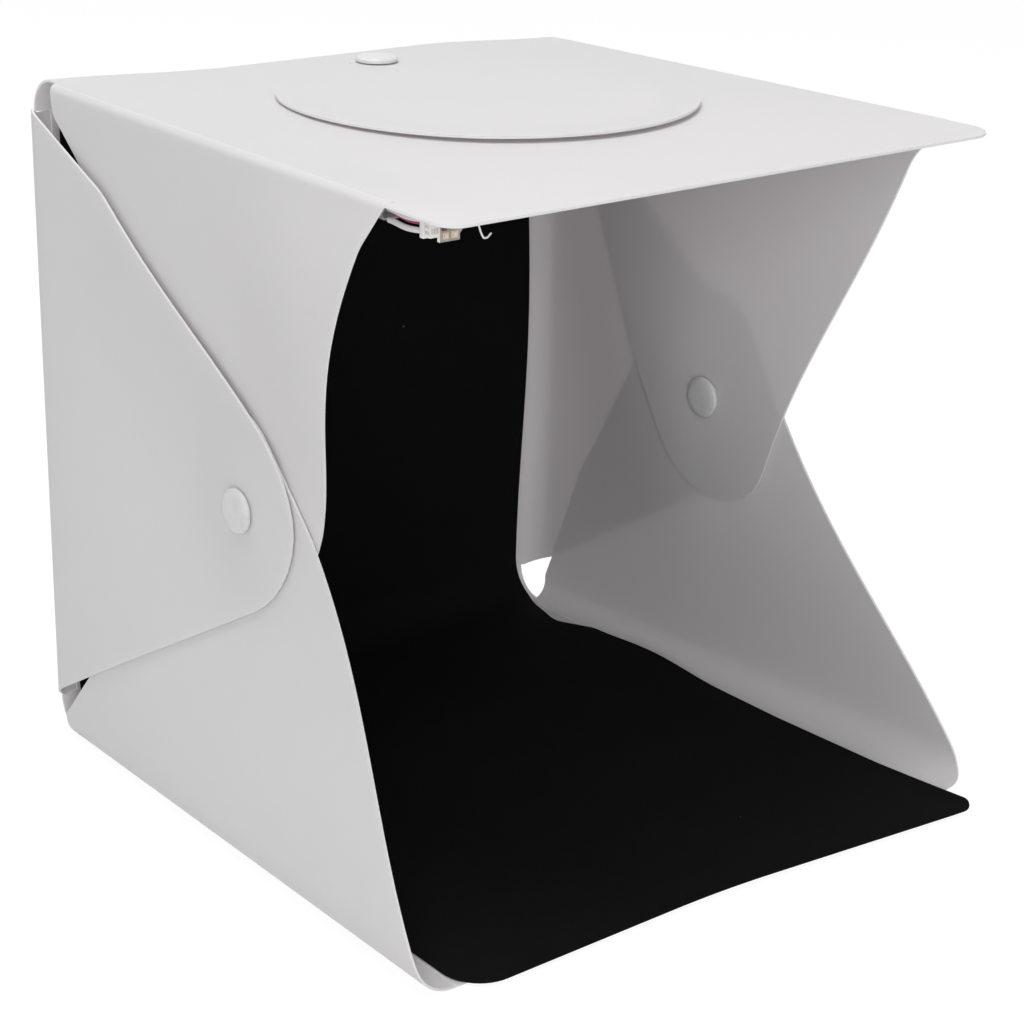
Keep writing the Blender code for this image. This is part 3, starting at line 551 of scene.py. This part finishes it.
def plan_of(loops, lines_a, lines_b):
    """The flat outline, cut along the lines where the sheet may curve."""
    plan = bmesh.new()
    rims = [[plan.verts.new((a, b, 0)) for a, b in loop] for loop in loops]
    if len(loops) == 1:
        plan.faces.new(rims[0])
    else:
        edges = [plan.edges.new((rim[n - 1], rim[n])) for rim in rims for n in range(len(rim))]
        bmesh.ops.triangle_fill(plan, use_beauty=True, edges=edges, normal=(0, 0, 1))
    for direction, lines in (((1, 0, 0), lines_a), ((0, 1, 0), lines_b)):
        for line in lines:
            parts = plan.verts[:] + plan.edges[:] + plan.faces[:]
            at = Vector(direction) * line
            bmesh.ops.bisect_plane(plan, geom=parts, dist=TINY / 10, plane_co=at, plane_no=direction)
    plan.verts.index_update()
    return plan


def object_of(name, solid, paints, body, replaced):
    """A closed mesh becomes a piece that rides on its body and stands for its CAD node."""
    bmesh.ops.recalc_face_normals(solid, faces=solid.faces)
    mesh = bpy.data.meshes.new(name)
    solid.to_mesh(mesh)
    solid.free()
    mesh.shade_smooth()
    mesh.set_sharp_from_angle(angle=SMOOTH_ANGLE)
    for paint in paints:
        mesh.materials.append(paint)
    piece = bpy.data.objects.new(name, mesh)
    bpy.context.scene.collection.objects.link(piece)
    if body:
        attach(piece, body)
    if replaced:
        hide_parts(replaced)
    return piece


def skin(node, loops, mid, facing, scores, paints, body, lines_a=(), lines_b=(), thick=SHEET):
    """A thin sheet over an outline, with its cut edge as a second material. A scored edge is
    given as (axis, line, outer place, inner place) and opens on one side."""
    plan = plan_of(loops, lines_a, lines_b)
    solid = bmesh.new()
    outer, inner = [], []
    for vert in plan.verts:
        places = [[vert.co.x, vert.co.y], [vert.co.x, vert.co.y]]
        for axis, line, out_place, in_place in scores:
            if abs(vert.co[axis] - line) < TINY:
                places[0][axis] = out_place
                places[1][axis] = in_place
        for rows, at, sign in ((outer, places[0], facing), (inner, places[1], -facing)):
            across = mid(at[0] + TINY, at[1]) - mid(at[0] - TINY, at[1])
            along = mid(at[0], at[1] + TINY) - mid(at[0], at[1] - TINY)
            normal = across.cross(along).normalized()
            rows.append(solid.verts.new(settled(mid(*at) + normal * sign * thick / 2)))
    for face in plan.faces:
        order = [v.index for v in face.verts]
        solid.faces.new([outer[n] for n in order])
        solid.faces.new([inner[n] for n in reversed(order)])
    for edge in plan.edges:
        if len(edge.link_faces) == 1:
            i, j = edge.verts[0].index, edge.verts[1].index
            solid.faces.new([outer[i], outer[j], inner[j], inner[i]]).material_index = 1
    plan.free()
    bmesh.ops.triangulate(solid, faces=[f for f in solid.faces if len(f.verts) > 4])
    return object_of(node + "_sheet", solid, paints, body, node)


def turned(name, profile, centre, axis, segments, paints, body, replaced):
    """A turned piece from (radius, height) pairs, running from axis to axis."""
    turn = Vector(axis).to_track_quat("Z", "Y")
    solid = bmesh.new()
    rings = []
    for radius, height in profile:
        spots = [(0, 0)] if radius == 0 else circle(0, 0, radius, segments)
        rings.append([solid.verts.new(turn @ Vector((a, b, height)) + centre) for a, b in spots])
    for low, high in zip(rings, rings[1:]):
        for n in range(segments):
            m = (n + 1) % segments
            corners = [low[n % len(low)], low[m % len(low)], high[m % len(high)], high[n % len(high)]]
            solid.faces.new(list(dict.fromkeys(corners)))
    return object_of(name, solid, paints, body, replaced)


def ring(solid, first, last, slot=0):
    """Faces between two closed rows of the same count."""
    for n in range(len(first)):
        m = (n + 1) % len(first)
        solid.faces.new([first[n], first[m], last[m], last[n]]).material_index = slot


def block(solid, low, high, slot=0, inset=0.0):
    """A box in a mesh, its edges rounded off by the inset so that they catch light."""
    made = bmesh.ops.create_cube(solid, size=1)["verts"]
    middle = (Vector(low) + Vector(high)) / 2
    span = Vector(high) - Vector(low)
    for vert in made:
        vert.co = Vector([vert.co[n] * span[n] for n in range(3)]) + middle
    faces = {face for vert in made for face in vert.link_faces}
    edges = {edge for face in faces for edge in face.edges}
    for face in faces:
        face.material_index = slot
    if inset:
        cut = bmesh.ops.bevel(
            solid, geom=list(edges), offset=inset, segments=2, affect="EDGES", profile=0.6)
        for face in cut["faces"]:
            face.material_index = slot


def tube(solid, path, radius):
    """A round lead along a path, closed at both ends."""
    points = [Vector(p) for p in path]
    up = Vector((0, 0, 1))
    rings = []
    for n, point in enumerate(points):
        ahead = (points[min(n + 1, len(points) - 1)] - points[max(n - 1, 0)]).normalized()
        across = ahead.cross(up).normalized()
        up = across.cross(ahead).normalized()
        spokes = circle(0, 0, radius, TUBE_SIDES)
        rings.append([solid.verts.new(point + across * a + up * b) for a, b in spokes])
    for low, high in zip(rings, rings[1:]):
        ring(solid, low, high)
    solid.faces.new(list(reversed(rings[0])))
    solid.faces.new(rings[-1])


def repaint(nodes, paint):
    """Paints pieces that are shown as the frame gives them."""
    for node in nodes:
        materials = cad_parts[node].data.materials
        materials.clear()
        materials.append(paint)


# The sheet's panels, rear bends and flaps
sheet_white = sheet_paint("sheet_white", WHITE_SHEET)
cut_edge = cut_edge_paint()
SHEET_PAINTS = (sheet_white, cut_edge)


def side_scores(hinge_x, outer, inner):
    return [(0, side * hinge_x, side * (hinge_x - outer), side * (hinge_x - inner))
            for side in (-1, 1)]


def make_panels():
    rear = [(1, REAR_HINGE_Y, REAR_HINGE_Y - SCORE_SHUT, REAR_HINGE_Y - SCORE_SHUT)]
    lines = grid_lines(-HALF_WIDTH, HALF_WIDTH, 2 * GRID)
    floor = box_outline(-BASE_HINGE_X, BASE_HINGE_X, -DEPTH / 2, REAR_HINGE_Y)
    skin("base_panel", [floor], level(FLOOR_MID), -1,
         side_scores(BASE_HINGE_X, SCORE_SHUT, SCORE) + rear, SHEET_PAINTS, "shell", lines, lines)

    back = box_outline(-BACK_HINGE_X, BACK_HINGE_X, LOW_HINGE_Z, HIGH_HINGE_Z)
    ends = [(1, LOW_HINGE_Z, LOW_HINGE_Z + SCORE_SHUT, LOW_HINGE_Z + SCORE_SHUT),
            (1, HIGH_HINGE_Z, HIGH_HINGE_Z - SCORE_SHUT, HIGH_HINGE_Z - SCORE_SHUT)]
    skin("back_panel", [back], upright(REAR_MID), -1,
         side_scores(BACK_HINGE_X, SCORE, SCORE_SHUT) + ends, SHEET_PAINTS, "shell",
         lines, grid_lines(0, HEIGHT, 2 * GRID))

    visor_back = TOP_FEET_SHARES["right"][0] * DEPTH - 2 * FIT_GAP
    left_back = TOP_FEET_SHARES["left"][0] * DEPTH - 2 * FIT_GAP
    visor_right = VISOR_RIGHT_SHARE * VISOR_HALF_WIDTH
    corners = [
        (-TOP_HINGE_X, REAR_HINGE_Y), (-TOP_HINGE_X, left_back),
        (-VISOR_HALF_WIDTH, left_back), (-VISOR_HALF_WIDTH, VISOR_FRONT),
        (visor_right, VISOR_FRONT), (visor_right, visor_back),
        (TOP_HINGE_X, visor_back), (TOP_HINGE_X, REAR_HINGE_Y)]
    right_round, left_round = VISOR_ROUNDS
    outline = rounded(corners, (0, 0, 0, left_round, right_round, 0, 0, 0))
    window = circle(LID_CENTRE.x, LID_CENTRE.y, WINDOW_RADIUS, WINDOW_STEPS)
    hole = circle(LID_SNAP.x, LID_SNAP.y, PIN_HOLE, SMALL_STEPS)
    skin("top_panel", [outline, window, hole], level(CEILING_MID), 1,
         side_scores(TOP_HINGE_X, SCORE_SHUT, SCORE) + rear, SHEET_PAINTS, "shell", lines, lines)


def make_spines():
    length = REAR_BEND * QUARTER
    ends = [(1, 0, SCORE_SHUT, SCORE_SHUT), (1, length, length - SCORE_SHUT, length - SCORE_SHUT)]
    turns = [length * n / SPINE_STEPS for n in range(1, SPINE_STEPS)]
    across = grid_lines(-HALF_WIDTH, HALF_WIDTH, 2 * GRID)
    for node, mid, facing in (("bottom_spine", low_spine_mid, -1), ("top_spine", high_spine_mid, 1)):
        outline = box_outline(-SPINE_HALF_WIDTH, SPINE_HALF_WIDTH, 0, length)
        skin(node, [outline], mid, facing, ends, SHEET_PAINTS, "shell", across, turns)


def flap_outline(feet_shares, fold_length, shares, rounds, spread):
    first, last = [share * fold_length for share in feet_shares]
    corners = [(first, 0)] + [spread(a * DEPTH, b * HEIGHT) for a, b in shares] + [(last, 0)]
    return rounded(corners, (0,) + rounds + (0,))


def make_flaps(side, word):
    depth_lines = grid_lines(-DEPTH / 2, DEPTH / 2)
    height_lines = grid_lines(0, HEIGHT)
    opens_in = [(1, 0, SCORE_SHUT, SCORE)]
    opens_out = [(1, 0, SCORE, SCORE_SHUT)]

    outline = flap_outline(
        BASE_FEET_SHARES, DEPTH, BASE_FLAP_SHARES[word], BASE_FLAP_ROUNDS[word],
        lambda y, z: (y, unroll(z - FLOOR_MID, BASE_FOLD + base_spread(y))))
    wide = BASE_FOLD + BASE_SPREAD
    rising = [unroll(z - FLOOR_MID, wide) for z in grid_lines(FLOOR_MID + wide, HEIGHT)]
    skin("base_flap_" + word, [outline], base_flap_mid(side), side, opens_in, SHEET_PAINTS,
         word + " base flap", depth_lines, fold_lines(wide, 2 * FOLD_STEPS) + rising)

    outline = flap_outline(
        TOP_FEET_SHARES[word], DEPTH, TOP_FLAP_SHARES[word], TOP_FLAP_ROUNDS[word],
        lambda y, z: (y, unroll(CEILING_MID - z, TOP_FOLD)))
    hanging = [unroll(CEILING_MID - z, TOP_FOLD) for z in grid_lines(0, CEILING_MID - TOP_FOLD)]
    top_flap = skin("top_flap_" + word, [outline], top_flap_mid(side), -side, opens_in, SHEET_PAINTS,
                    None, depth_lines, fold_lines(TOP_FOLD) + hanging)
    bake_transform(top_flap)

    outline = flap_outline(
        BACK_FEET_SHARES, HEIGHT, BACK_FLAP_SHARES[word], BACK_FLAP_ROUNDS[word],
        lambda y, z: (z, unroll(REAR_MID - y, BACK_FOLD)))
    ahead = [unroll(REAR_MID - y, BACK_FOLD) for y in grid_lines(-REAR_MID, REAR_MID - BACK_FOLD)]
    skin("back_flap_" + word, [outline], back_flap_mid(side), side, opens_out, SHEET_PAINTS,
         word + " back flap", height_lines, fold_lines(BACK_FOLD) + ahead)


def make_lid():
    spoke = LID_SNAP - LID_CENTRE
    reach, toward = spoke.length, math.atan2(spoke.y, spoke.x)
    wide = math.acos((reach ** 2 + LID_RADIUS ** 2 - LID_EAR ** 2) / (2 * reach * LID_RADIUS))
    ear = math.pi - math.acos((reach ** 2 + LID_EAR ** 2 - LID_RADIUS ** 2) / (2 * reach * LID_EAR))
    disc = arc(LID_CENTRE.x, LID_CENTRE.y, LID_RADIUS, toward + wide,
               toward - wide + 2 * math.pi, LID_STEPS)
    tab = arc(LID_SNAP.x, LID_SNAP.y, LID_EAR, toward - ear, toward + ear, SMALL_STEPS)
    lines = grid_lines(-2 * LID_RADIUS, 2 * LID_RADIUS, 2 * GRID)
    skin("window_lid", [disc + tab[1:-1]], lid_mid, 1, [], SHEET_PAINTS, "lid", lines, lines)


make_panels()
make_spines()
for side, word in ((-1, "left"), (1, "right")):
    make_flaps(side, word)
make_lid()

# Press studs: turned caps, with the hidden studs and sockets of the frame
cap_plastic = moulded_paint("cap_plastic", (0.66, 0.66, 0.66), 0.34)
CAP_RIM = 0.0007
CAP_EDGE = 0.0011
CAP_CROWN = 0.0005
PIN_RADIUS = 0.0020


def cap_profile(pin):
    """A low dome with a rounded rim and a faint moulded step, on its pin."""
    flat = CAP_RADIUS - CAP_EDGE
    turns = [QUARTER * n / CAP_EDGE_STEPS for n in range(CAP_EDGE_STEPS + 1)]
    edge = [(flat + CAP_EDGE * math.cos(t), CAP_RIM + CAP_EDGE * math.sin(t)) for t in turns]
    crown = [(flat * math.cos(t), CAP_RIM + CAP_EDGE + CAP_CROWN * math.sin(t)) for t in turns[1:-1]]
    top = (0, CAP_RIM + CAP_EDGE + CAP_CROWN)
    return [(0, -pin), (PIN_RADIUS, -pin), (PIN_RADIUS, 0), (flat, 0),
            (CAP_RADIUS - CAP_RIM / 4, CAP_RIM / 4), (CAP_RADIUS, CAP_RIM / 2)] + edge + crown + [top]


def make_cap(node, axis, body):
    low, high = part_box(node)
    axis = Vector(axis)
    far = Vector([high[n] if axis[n] > 0 else low[n] for n in range(3)])
    near = Vector([low[n] if axis[n] > 0 else high[n] for n in range(3)])
    thick = CAP_RIM + CAP_EDGE + CAP_CROWN
    pin = abs((far - near).dot(axis)) - thick
    middle = (low + high) / 2
    centre = middle + axis * ((far - middle).dot(axis) - thick)
    turned(node + "_dome", cap_profile(pin), centre, axis, CAP_STEPS, [cap_plastic], body, node)


for side, word in ((-1, "left"), (1, "right")):
    make_cap("outer_cap_" + word, (side, 0, 0), word + " back flap")
    make_cap("inner_cap_" + word, (-side, 0, 0), word + " top flap")
make_cap("lid_cap", (0, 0, 1), "lid")
repaint(("stud_left", "stud_right", "socket_left", "socket_right", "lid_socket"), cap_plastic)

# Backdrop: a black sheet that lies on the floor, sweeps up and hangs from two pads
BACKDROP_SHEET = 0.0005
BACKDROP_SWEEP = 0.016
BACKDROP_LEAN = 0.0045
BACKDROP_HUMP = 0.0020
HUMP_START = -0.010
HUMP_END = 0.066
BACKDROP_LOW_MID = BACKDROP_LOW.z + BACKDROP_SHEET / 2
BACKDROP_TURN = BACKDROP_HIGH.y - MIDDLE_Y - BACKDROP_SHEET / 2 - BACKDROP_SWEEP
BACKDROP_CLEAR = 0.0001
# The lying part's outline, clockwise from its front left, as shares of (half width, DEPTH)
BACKDROP_SHARES = (
    (-1, -0.5296), (0, -0.5290), (1.0714, -0.5791), (1.0367, -0.3913), (1.0174, -0.1739),
    (1.0154, 0.2783), (0.9402, 0.3435), (1, 0.4500))
BACKDROP_ROUNDS = (0.014, 0.400, 0.005, 0.060, 0.100, 0.012, 0.010, 0.015, 0.012, 0.012)
BACKDROP_TOP_LEFT_SHARE = -0.965


def fold_rise(x, y):
    """How far the soft fold of the base lifts what lies on it."""
    over = max(x - BASE_HINGE_X, 0)
    radius = BASE_FOLD + base_spread(y)
    return radius - math.sqrt(radius * radius - over * over) + BACKDROP_CLEAR * (over > 0)


def backdrop_mid(x, along):
    y = BACKDROP_FRONT + along
    if y < BACKDROP_TURN:
        share = clamp((y - HUMP_START) / (HUMP_END - HUMP_START))
        rise = BACKDROP_HUMP * math.sin(math.pi * share) ** 2 + fold_rise(x, y)
        return Vector((x, y, BACKDROP_LOW_MID + rise))
    out, up = bend(y - BACKDROP_TURN, BACKDROP_SWEEP)
    top = BACKDROP_HIGH.z - BACKDROP_LOW_MID
    share = clamp((up - BACKDROP_SWEEP) / (top - BACKDROP_SWEEP))
    lean = BACKDROP_LEAN * math.sin(math.pi * share) ** 2
    return Vector((x, BACKDROP_TURN + out - lean, BACKDROP_LOW_MID + up))


def make_backdrop():
    half = BACKDROP_HIGH.x
    rise = BACKDROP_HIGH.z - BACKDROP_LOW_MID - BACKDROP_SWEEP
    length = BACKDROP_TURN - BACKDROP_FRONT + BACKDROP_SWEEP * QUARTER + rise
    corners = [(a * half, b * DEPTH - BACKDROP_FRONT) for a, b in BACKDROP_SHARES]
    corners += [(half, length), (BACKDROP_TOP_LEFT_SHARE * half, length)]
    outline = rounded(corners, BACKDROP_ROUNDS)
    paints = (backdrop_paint(), backdrop_paint())
    piece = skin("backdrop", [outline], backdrop_mid, 1, [], paints, None,
                 grid_lines(-half, half + 2 * GRID, GRID), grid_lines(-2 * GRID, length, GRID / 2),
                 BACKDROP_SHEET)
    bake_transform(piece)


make_backdrop()
repaint(("backdrop_pad_left", "backdrop_pad_right"), pile_paint())

# Light strip, sleeve, leads, plug and board under the left edge of the top
white_lead = insulation_paint("lead_white_insulation", (0.80, 0.79, 0.79))
red_lead = insulation_paint("lead_red_insulation", (0.42, 0.06, 0.13))
solder = metal_paint("solder", (0.62, 0.60, 0.56), 0.35)
gold_pad = metal_paint("gold_pad", (0.66, 0.52, 0.40), 0.35)
CORNER_DROP = -0.0016
WHITE_RADIUS = 0.00085
RED_RADIUS = 0.0004
TAIL_RADIUS = 0.00028
LEAD_STEPS = 32
RED_SETBACK = 0.0007
LEAD_SAG = 0.0006
LEAD_SLUMP = 0.0004
SLEEVE_DROOP = 0.0020
SLEEVE_DROOP_REACH = 0.030
SLEEVE_STEPS = 24
SLEEVE_WALL = 0.0005
SLEEVE_ROUND = 0.0013
STRIP_THICK = 0.0004
CHIP_COUNT = 20
CHIP_HALF_WIDTH = 0.00175
CHIP_HALF_LENGTH = 0.0014
CHIP_EDGE = 0.0001
DAB_SPANS = ((-0.0036, -0.0022), (0.0022, 0.0036))
DAB_START = 0.0022
DAB_END = 0.0032
DAB_THICK = 0.0003
DAB_EDGE = 0.00005
PLUG_EDGE = 0.0004
SLOT_EDGE = PLUG_EDGE / 8
SLOT_COUNT = 3
# The plug's slots and rib as shares of its own box: a slot's start, its step and its end
SIDE_SLOT_LOW = 0.18
SIDE_SLOT_STEP = 0.28
SIDE_SLOT_TALL = 0.12
SIDE_SLOT_DEPTH = (0.12, 0.46)
FRONT_SLOT_LEFT = 0.14
FRONT_SLOT_RIGHT = 0.30
FRONT_SLOT_STEP = 0.26
FRONT_SLOT_HEIGHT = (0.2, 0.45)
RIB_DEPTH = (0.55, 0.94)
RIB_WIDTH = 0.5
RIB_TOP = 0.12
# The board and what is on it, as shares of its own box
BOARD_SHARES = ((0, 1), (0, 0), (0.793, 0), (0.793, 0.234), (1, 0.4675), (1, 1))
PAD_SHARES = ((0.10, 0.34, 0.10, 0.34), (0.42, 0.72, 0.10, 0.36))
PART_SHARES = ((0.06, 0.24, 0.42, 0.54), (0.30, 0.50, 0.46, 0.56), (0.55, 0.78, 0.48, 0.57))
PAD_THICK = 0.00012
PART_THICK = 0.0006


def lowered(point):
    """The lighting has sunk a little from where it is fixed under the top."""
    x, y, z = point
    return Vector((x, y, z + CORNER_DROP))


def make_strip():
    """The strip's carrier, with its light chips and two dabs of solder behind each."""
    low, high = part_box("led_strip")
    strip_low = high.z - STRIP_THICK
    solid = bmesh.new()
    block(solid, (low.x, low.y, strip_low), high)
    middle = (low.x + high.x) / 2
    pitch = (high.y - low.y) / CHIP_COUNT
    for n in range(CHIP_COUNT):
        y = low.y + pitch * (n + 0.5)
        block(solid, (middle - CHIP_HALF_WIDTH, y - CHIP_HALF_LENGTH, low.z),
              (middle + CHIP_HALF_WIDTH, y + CHIP_HALF_LENGTH, strip_low - TINY), 1, CHIP_EDGE)
        for left, right in DAB_SPANS:
            block(solid, (middle + left, y + DAB_START, strip_low - DAB_THICK),
                  (middle + right, y + DAB_END, strip_low - TINY), 2, DAB_EDGE)
    strip_white = moulded_paint("strip_white", (0.82, 0.82, 0.78), 0.35)
    object_of("led_strip_chips", solid, [strip_white, chip_paint(), solder], "shell", "led_strip")


def make_sleeve():
    """An open tube with a thin wall, its front end drooping."""
    low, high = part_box("led_sleeve")
    solid = bmesh.new()
    rims = []
    for inset in (0, SLEEVE_WALL):
        corners = box_outline(low.x + inset, high.x - inset, low.z + inset, high.z - inset)
        section = rounded(corners, (SLEEVE_ROUND - inset,) * 4)
        rows = []
        for n in range(SLEEVE_STEPS + 1):
            y = low.y + (high.y - low.y) * (n / SLEEVE_STEPS) ** 2
            droop = SLEEVE_DROOP * ease(1 - (y - low.y) / SLEEVE_DROOP_REACH)
            rows.append([solid.verts.new(lowered((x, y, z - droop))) for x, z in section])
        rims.append(rows)
    for rows in rims:
        for first, last in zip(rows, rows[1:]):
            ring(solid, first, last)
    for end in (0, -1):
        ring(solid, rims[0][end], rims[1][end])
    object_of("led_sleeve_tube", solid, [sleeve_paint()], "shell", "led_sleeve")


def make_leads():
    """Three leads from the strip to the plug, and the stray end past the board."""
    for node, paint in (("lead_white_upper", white_lead), ("lead_red", red_lead),
                        ("lead_white_lower", white_lead)):
        low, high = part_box(node)
        radius = RED_RADIUS if node == "lead_red" else WHITE_RADIUS
        across = high.x - low.x - 2 * radius
        behind = RED_SETBACK if node == "lead_red" else 0
        path = []
        for n in range(LEAD_STEPS + 1):
            share = n / LEAD_STEPS
            sag = LEAD_SLUMP + LEAD_SAG * math.sin(math.pi * share) ** 2
            x = high.x - radius - across * share + behind
            y = high.y - (high.y - low.y) * share
            path.append(lowered((x, y, high.z - radius - sag)))
        solid = bmesh.new()
        tube(solid, path, radius)
        object_of(node + "_run", solid, [paint], "shell", node)
    low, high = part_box("lead_tail")
    reach = high.x - low.x - 2 * TAIL_RADIUS
    fall = high.z - low.z - 2 * TAIL_RADIUS
    path = []
    for n in range(LEAD_STEPS + 1):
        share = n / LEAD_STEPS
        drop = ease((share - 1 / 4) * 2) - ease((share - 5 / 6) * 6) / 8
        x = low.x + TAIL_RADIUS + reach * share
        path.append(lowered((x, (low.y + high.y) / 2, high.z - TAIL_RADIUS - fall * drop)))
    solid = bmesh.new()
    tube(solid, path, TAIL_RADIUS)
    object_of("lead_tail_run", solid, [white_lead], "shell", "lead_tail")


def make_plug():
    """A small moulded connector: body, latch rib and pin slots with pale metal inside."""
    low, high = [corner + Vector((0, 0, CORNER_DROP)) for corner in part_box("lead_plug")]
    solid = bmesh.new()
    block(solid, low, high, 0, PLUG_EDGE)
    deep, tall, wide = high.y - low.y, high.z - low.z, high.x - low.x
    for n in range(SLOT_COUNT):
        z = low.z + tall * (SIDE_SLOT_LOW + SIDE_SLOT_STEP * n)
        block(solid, (low.x - PLUG_EDGE / 2, low.y + deep * SIDE_SLOT_DEPTH[0], z),
              (low.x + PLUG_EDGE, low.y + deep * SIDE_SLOT_DEPTH[1], z + tall * SIDE_SLOT_TALL),
              1, SLOT_EDGE)
        left, right = [low.x + wide * (side + FRONT_SLOT_STEP * n)
                       for side in (FRONT_SLOT_LEFT, FRONT_SLOT_RIGHT)]
        block(solid, (left, low.y - PLUG_EDGE / 2, low.z + tall * FRONT_SLOT_HEIGHT[0]),
              (right, low.y + PLUG_EDGE, low.z + tall * FRONT_SLOT_HEIGHT[1]), 1, SLOT_EDGE)
    block(solid, (low.x - PLUG_EDGE, low.y + deep * RIB_DEPTH[0], low.z - PLUG_EDGE),
          (low.x + wide * RIB_WIDTH, low.y + deep * RIB_DEPTH[1], high.z - tall * RIB_TOP),
          0, PLUG_EDGE / 3)
    plug_white = moulded_paint("plug_white", (0.82, 0.81, 0.79), 0.36)
    object_of("lead_plug_body", solid, [plug_white, solder], "shell", "lead_plug")


def make_board():
    """The control board across the corner: notched plate, bare pads, solder and small parts."""
    low, high = [corner + Vector((0, 0, CORNER_DROP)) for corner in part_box("control_board")]
    wide, tall = high.x - low.x, high.z - low.z
    outline = [(low.x + wide * a, low.z + tall * b) for a, b in BOARD_SHARES]
    solid = bmesh.new()
    faces = [[solid.verts.new((x, y, z)) for x, z in outline] for y in (low.y, high.y)]
    solid.faces.new(faces[0])
    solid.faces.new(list(reversed(faces[1])))
    ring(solid, *faces, 1)

    def on_face(left, right, bottom, top, thick, slot):
        block(solid, (low.x + wide * left, low.y - thick, low.z + tall * bottom),
              (low.x + wide * right, low.y - TINY, low.z + tall * top), slot, thick / 4)

    for left, right, bottom, top in PAD_SHARES:
        on_face(left, right, bottom, top, PAD_THICK, 2)
        inset = (right - left) / 4
        on_face(left + inset, right - inset, bottom + inset / 2, top - inset / 2, 3 * PAD_THICK, 3)
    for left, right, bottom, top in PART_SHARES:
        on_face(left, right, bottom, top, PART_THICK, 4)
    rim = insulation_paint("board_rim", (0.84, 0.82, 0.78))
    part_brown = moulded_paint("part_brown", (0.10, 0.055, 0.045), 0.4)
    object_of("control_board_plate", solid, [board_paint(), rim, gold_pad, solder, part_brown],
              "shell", "control_board")


make_strip()
make_sleeve()
make_leads()
make_plug()
make_board()

# Camera at the photograph's viewpoint
CAMERA_AT = Vector((-0.49838, -0.61520 + MIDDLE_Y, 0.39361))
CAMERA_ACROSS = Vector((0.7768, -0.6293, 0.0217))
CAMERA_UP = Vector((0.2067, 0.2874, 0.9353))
CAMERA_BACK = Vector((-0.5948, -0.7221, 0.3533))
LENS_MM = 86.01
SENSOR_MM = 36


def make_camera():
    data = bpy.data.cameras.new("camera")
    data.lens = LENS_MM
    data.sensor_width = SENSOR_MM
    data.clip_start = 0.05
    data.clip_end = 50
    camera = bpy.data.objects.new("camera", data)
    turn = Matrix((CAMERA_ACROSS, CAMERA_UP, CAMERA_BACK)).transposed().to_quaternion()
    camera.rotation_mode = "QUATERNION"
    camera.rotation_quaternion = turn.normalized()
    camera.location = CAMERA_AT
    bpy.context.scene.collection.objects.link(camera)
    bpy.context.scene.camera = camera


def make_lamp(name, at, size, watts):
    data = bpy.data.lights.new(name, "AREA")
    data.shape = "DISK"
    data.size = size
    data.energy = watts
    lamp = bpy.data.objects.new(name, data)
    lamp.location = at
    aim = Vector((0, 0, HEIGHT / 2)) - Vector(at)
    lamp.rotation_euler = aim.to_track_quat("-Z", "Y").to_euler()
    bpy.context.scene.collection.objects.link(lamp)


# Each lamp's name, place, size in metres and power in watts
LAMPS = (("key_overhead", (-0.2, 0.1, 1.7), 1.1, 17.0),
         ("fill_left", (-1.6, -0.3, 0.9), 1.2, 1.5),
         ("front_left", (-1.1, -1.5, 0.7), 0.9, 11.0))
ROOM_LIGHT = 0.37
FLOOR_GLOW = 1.09
FLOOR_SHADOW = 0.16
FLOOR_REACH = 4.0
FLOOR_DROP = 0.0002


def white_share(nodes):
    """1 where the white ground is looked at, also in gloss and through clear pieces, else 0."""
    seen, gloss, through, bounced = [
        nodes.node("ShaderNodeLightPath", output="Is %s Ray" % kind)
        for kind in ("Camera", "Glossy", "Transmission", "Diffuse")]
    return (seen.most(gloss).most(through) - bounced).most(0)


def make_room():
    world = bpy.data.worlds.new("room")
    bpy.context.scene.world = world
    world.use_nodes = True
    nodes = Nodes(world.node_tree)
    lit, looked_at = [
        nodes.node("ShaderNodeBackground", None, {"Color": (1, 1, 1, 1), "Strength": strength},
                   "Background") for strength in (ROOM_LIGHT, 1)]
    nodes.surface("World Output", white_share(nodes), lit, looked_at)


def make_floor():
    paint = Paint("floor_pale", (0.9, 0.9, 0.9), 0.9, Specular_IOR_Level=0.0)
    glow = paint.node("ShaderNodeEmission", None, {"Strength": FLOOR_GLOW}, "Emission")
    paint.share_with(white_share(paint) * (1 - FLOOR_SHADOW), glow)
    mesh = bpy.data.meshes.new("floor")
    corners = box_outline(-FLOOR_REACH, FLOOR_REACH, -FLOOR_REACH, FLOOR_REACH)
    mesh.from_pydata([(x, y, 0) for x, y in corners], [], [(0, 1, 2, 3)])
    floor = bpy.data.objects.new("floor", mesh)
    floor.location.z = -FLOOR_DROP
    mesh.materials.append(paint.material)
    bpy.context.scene.collection.objects.link(floor)


make_camera()
for lamp in LAMPS:
    make_lamp(*lamp)
make_room()
make_floor()
bpy.context.scene.view_settings.view_transform = "Standard"
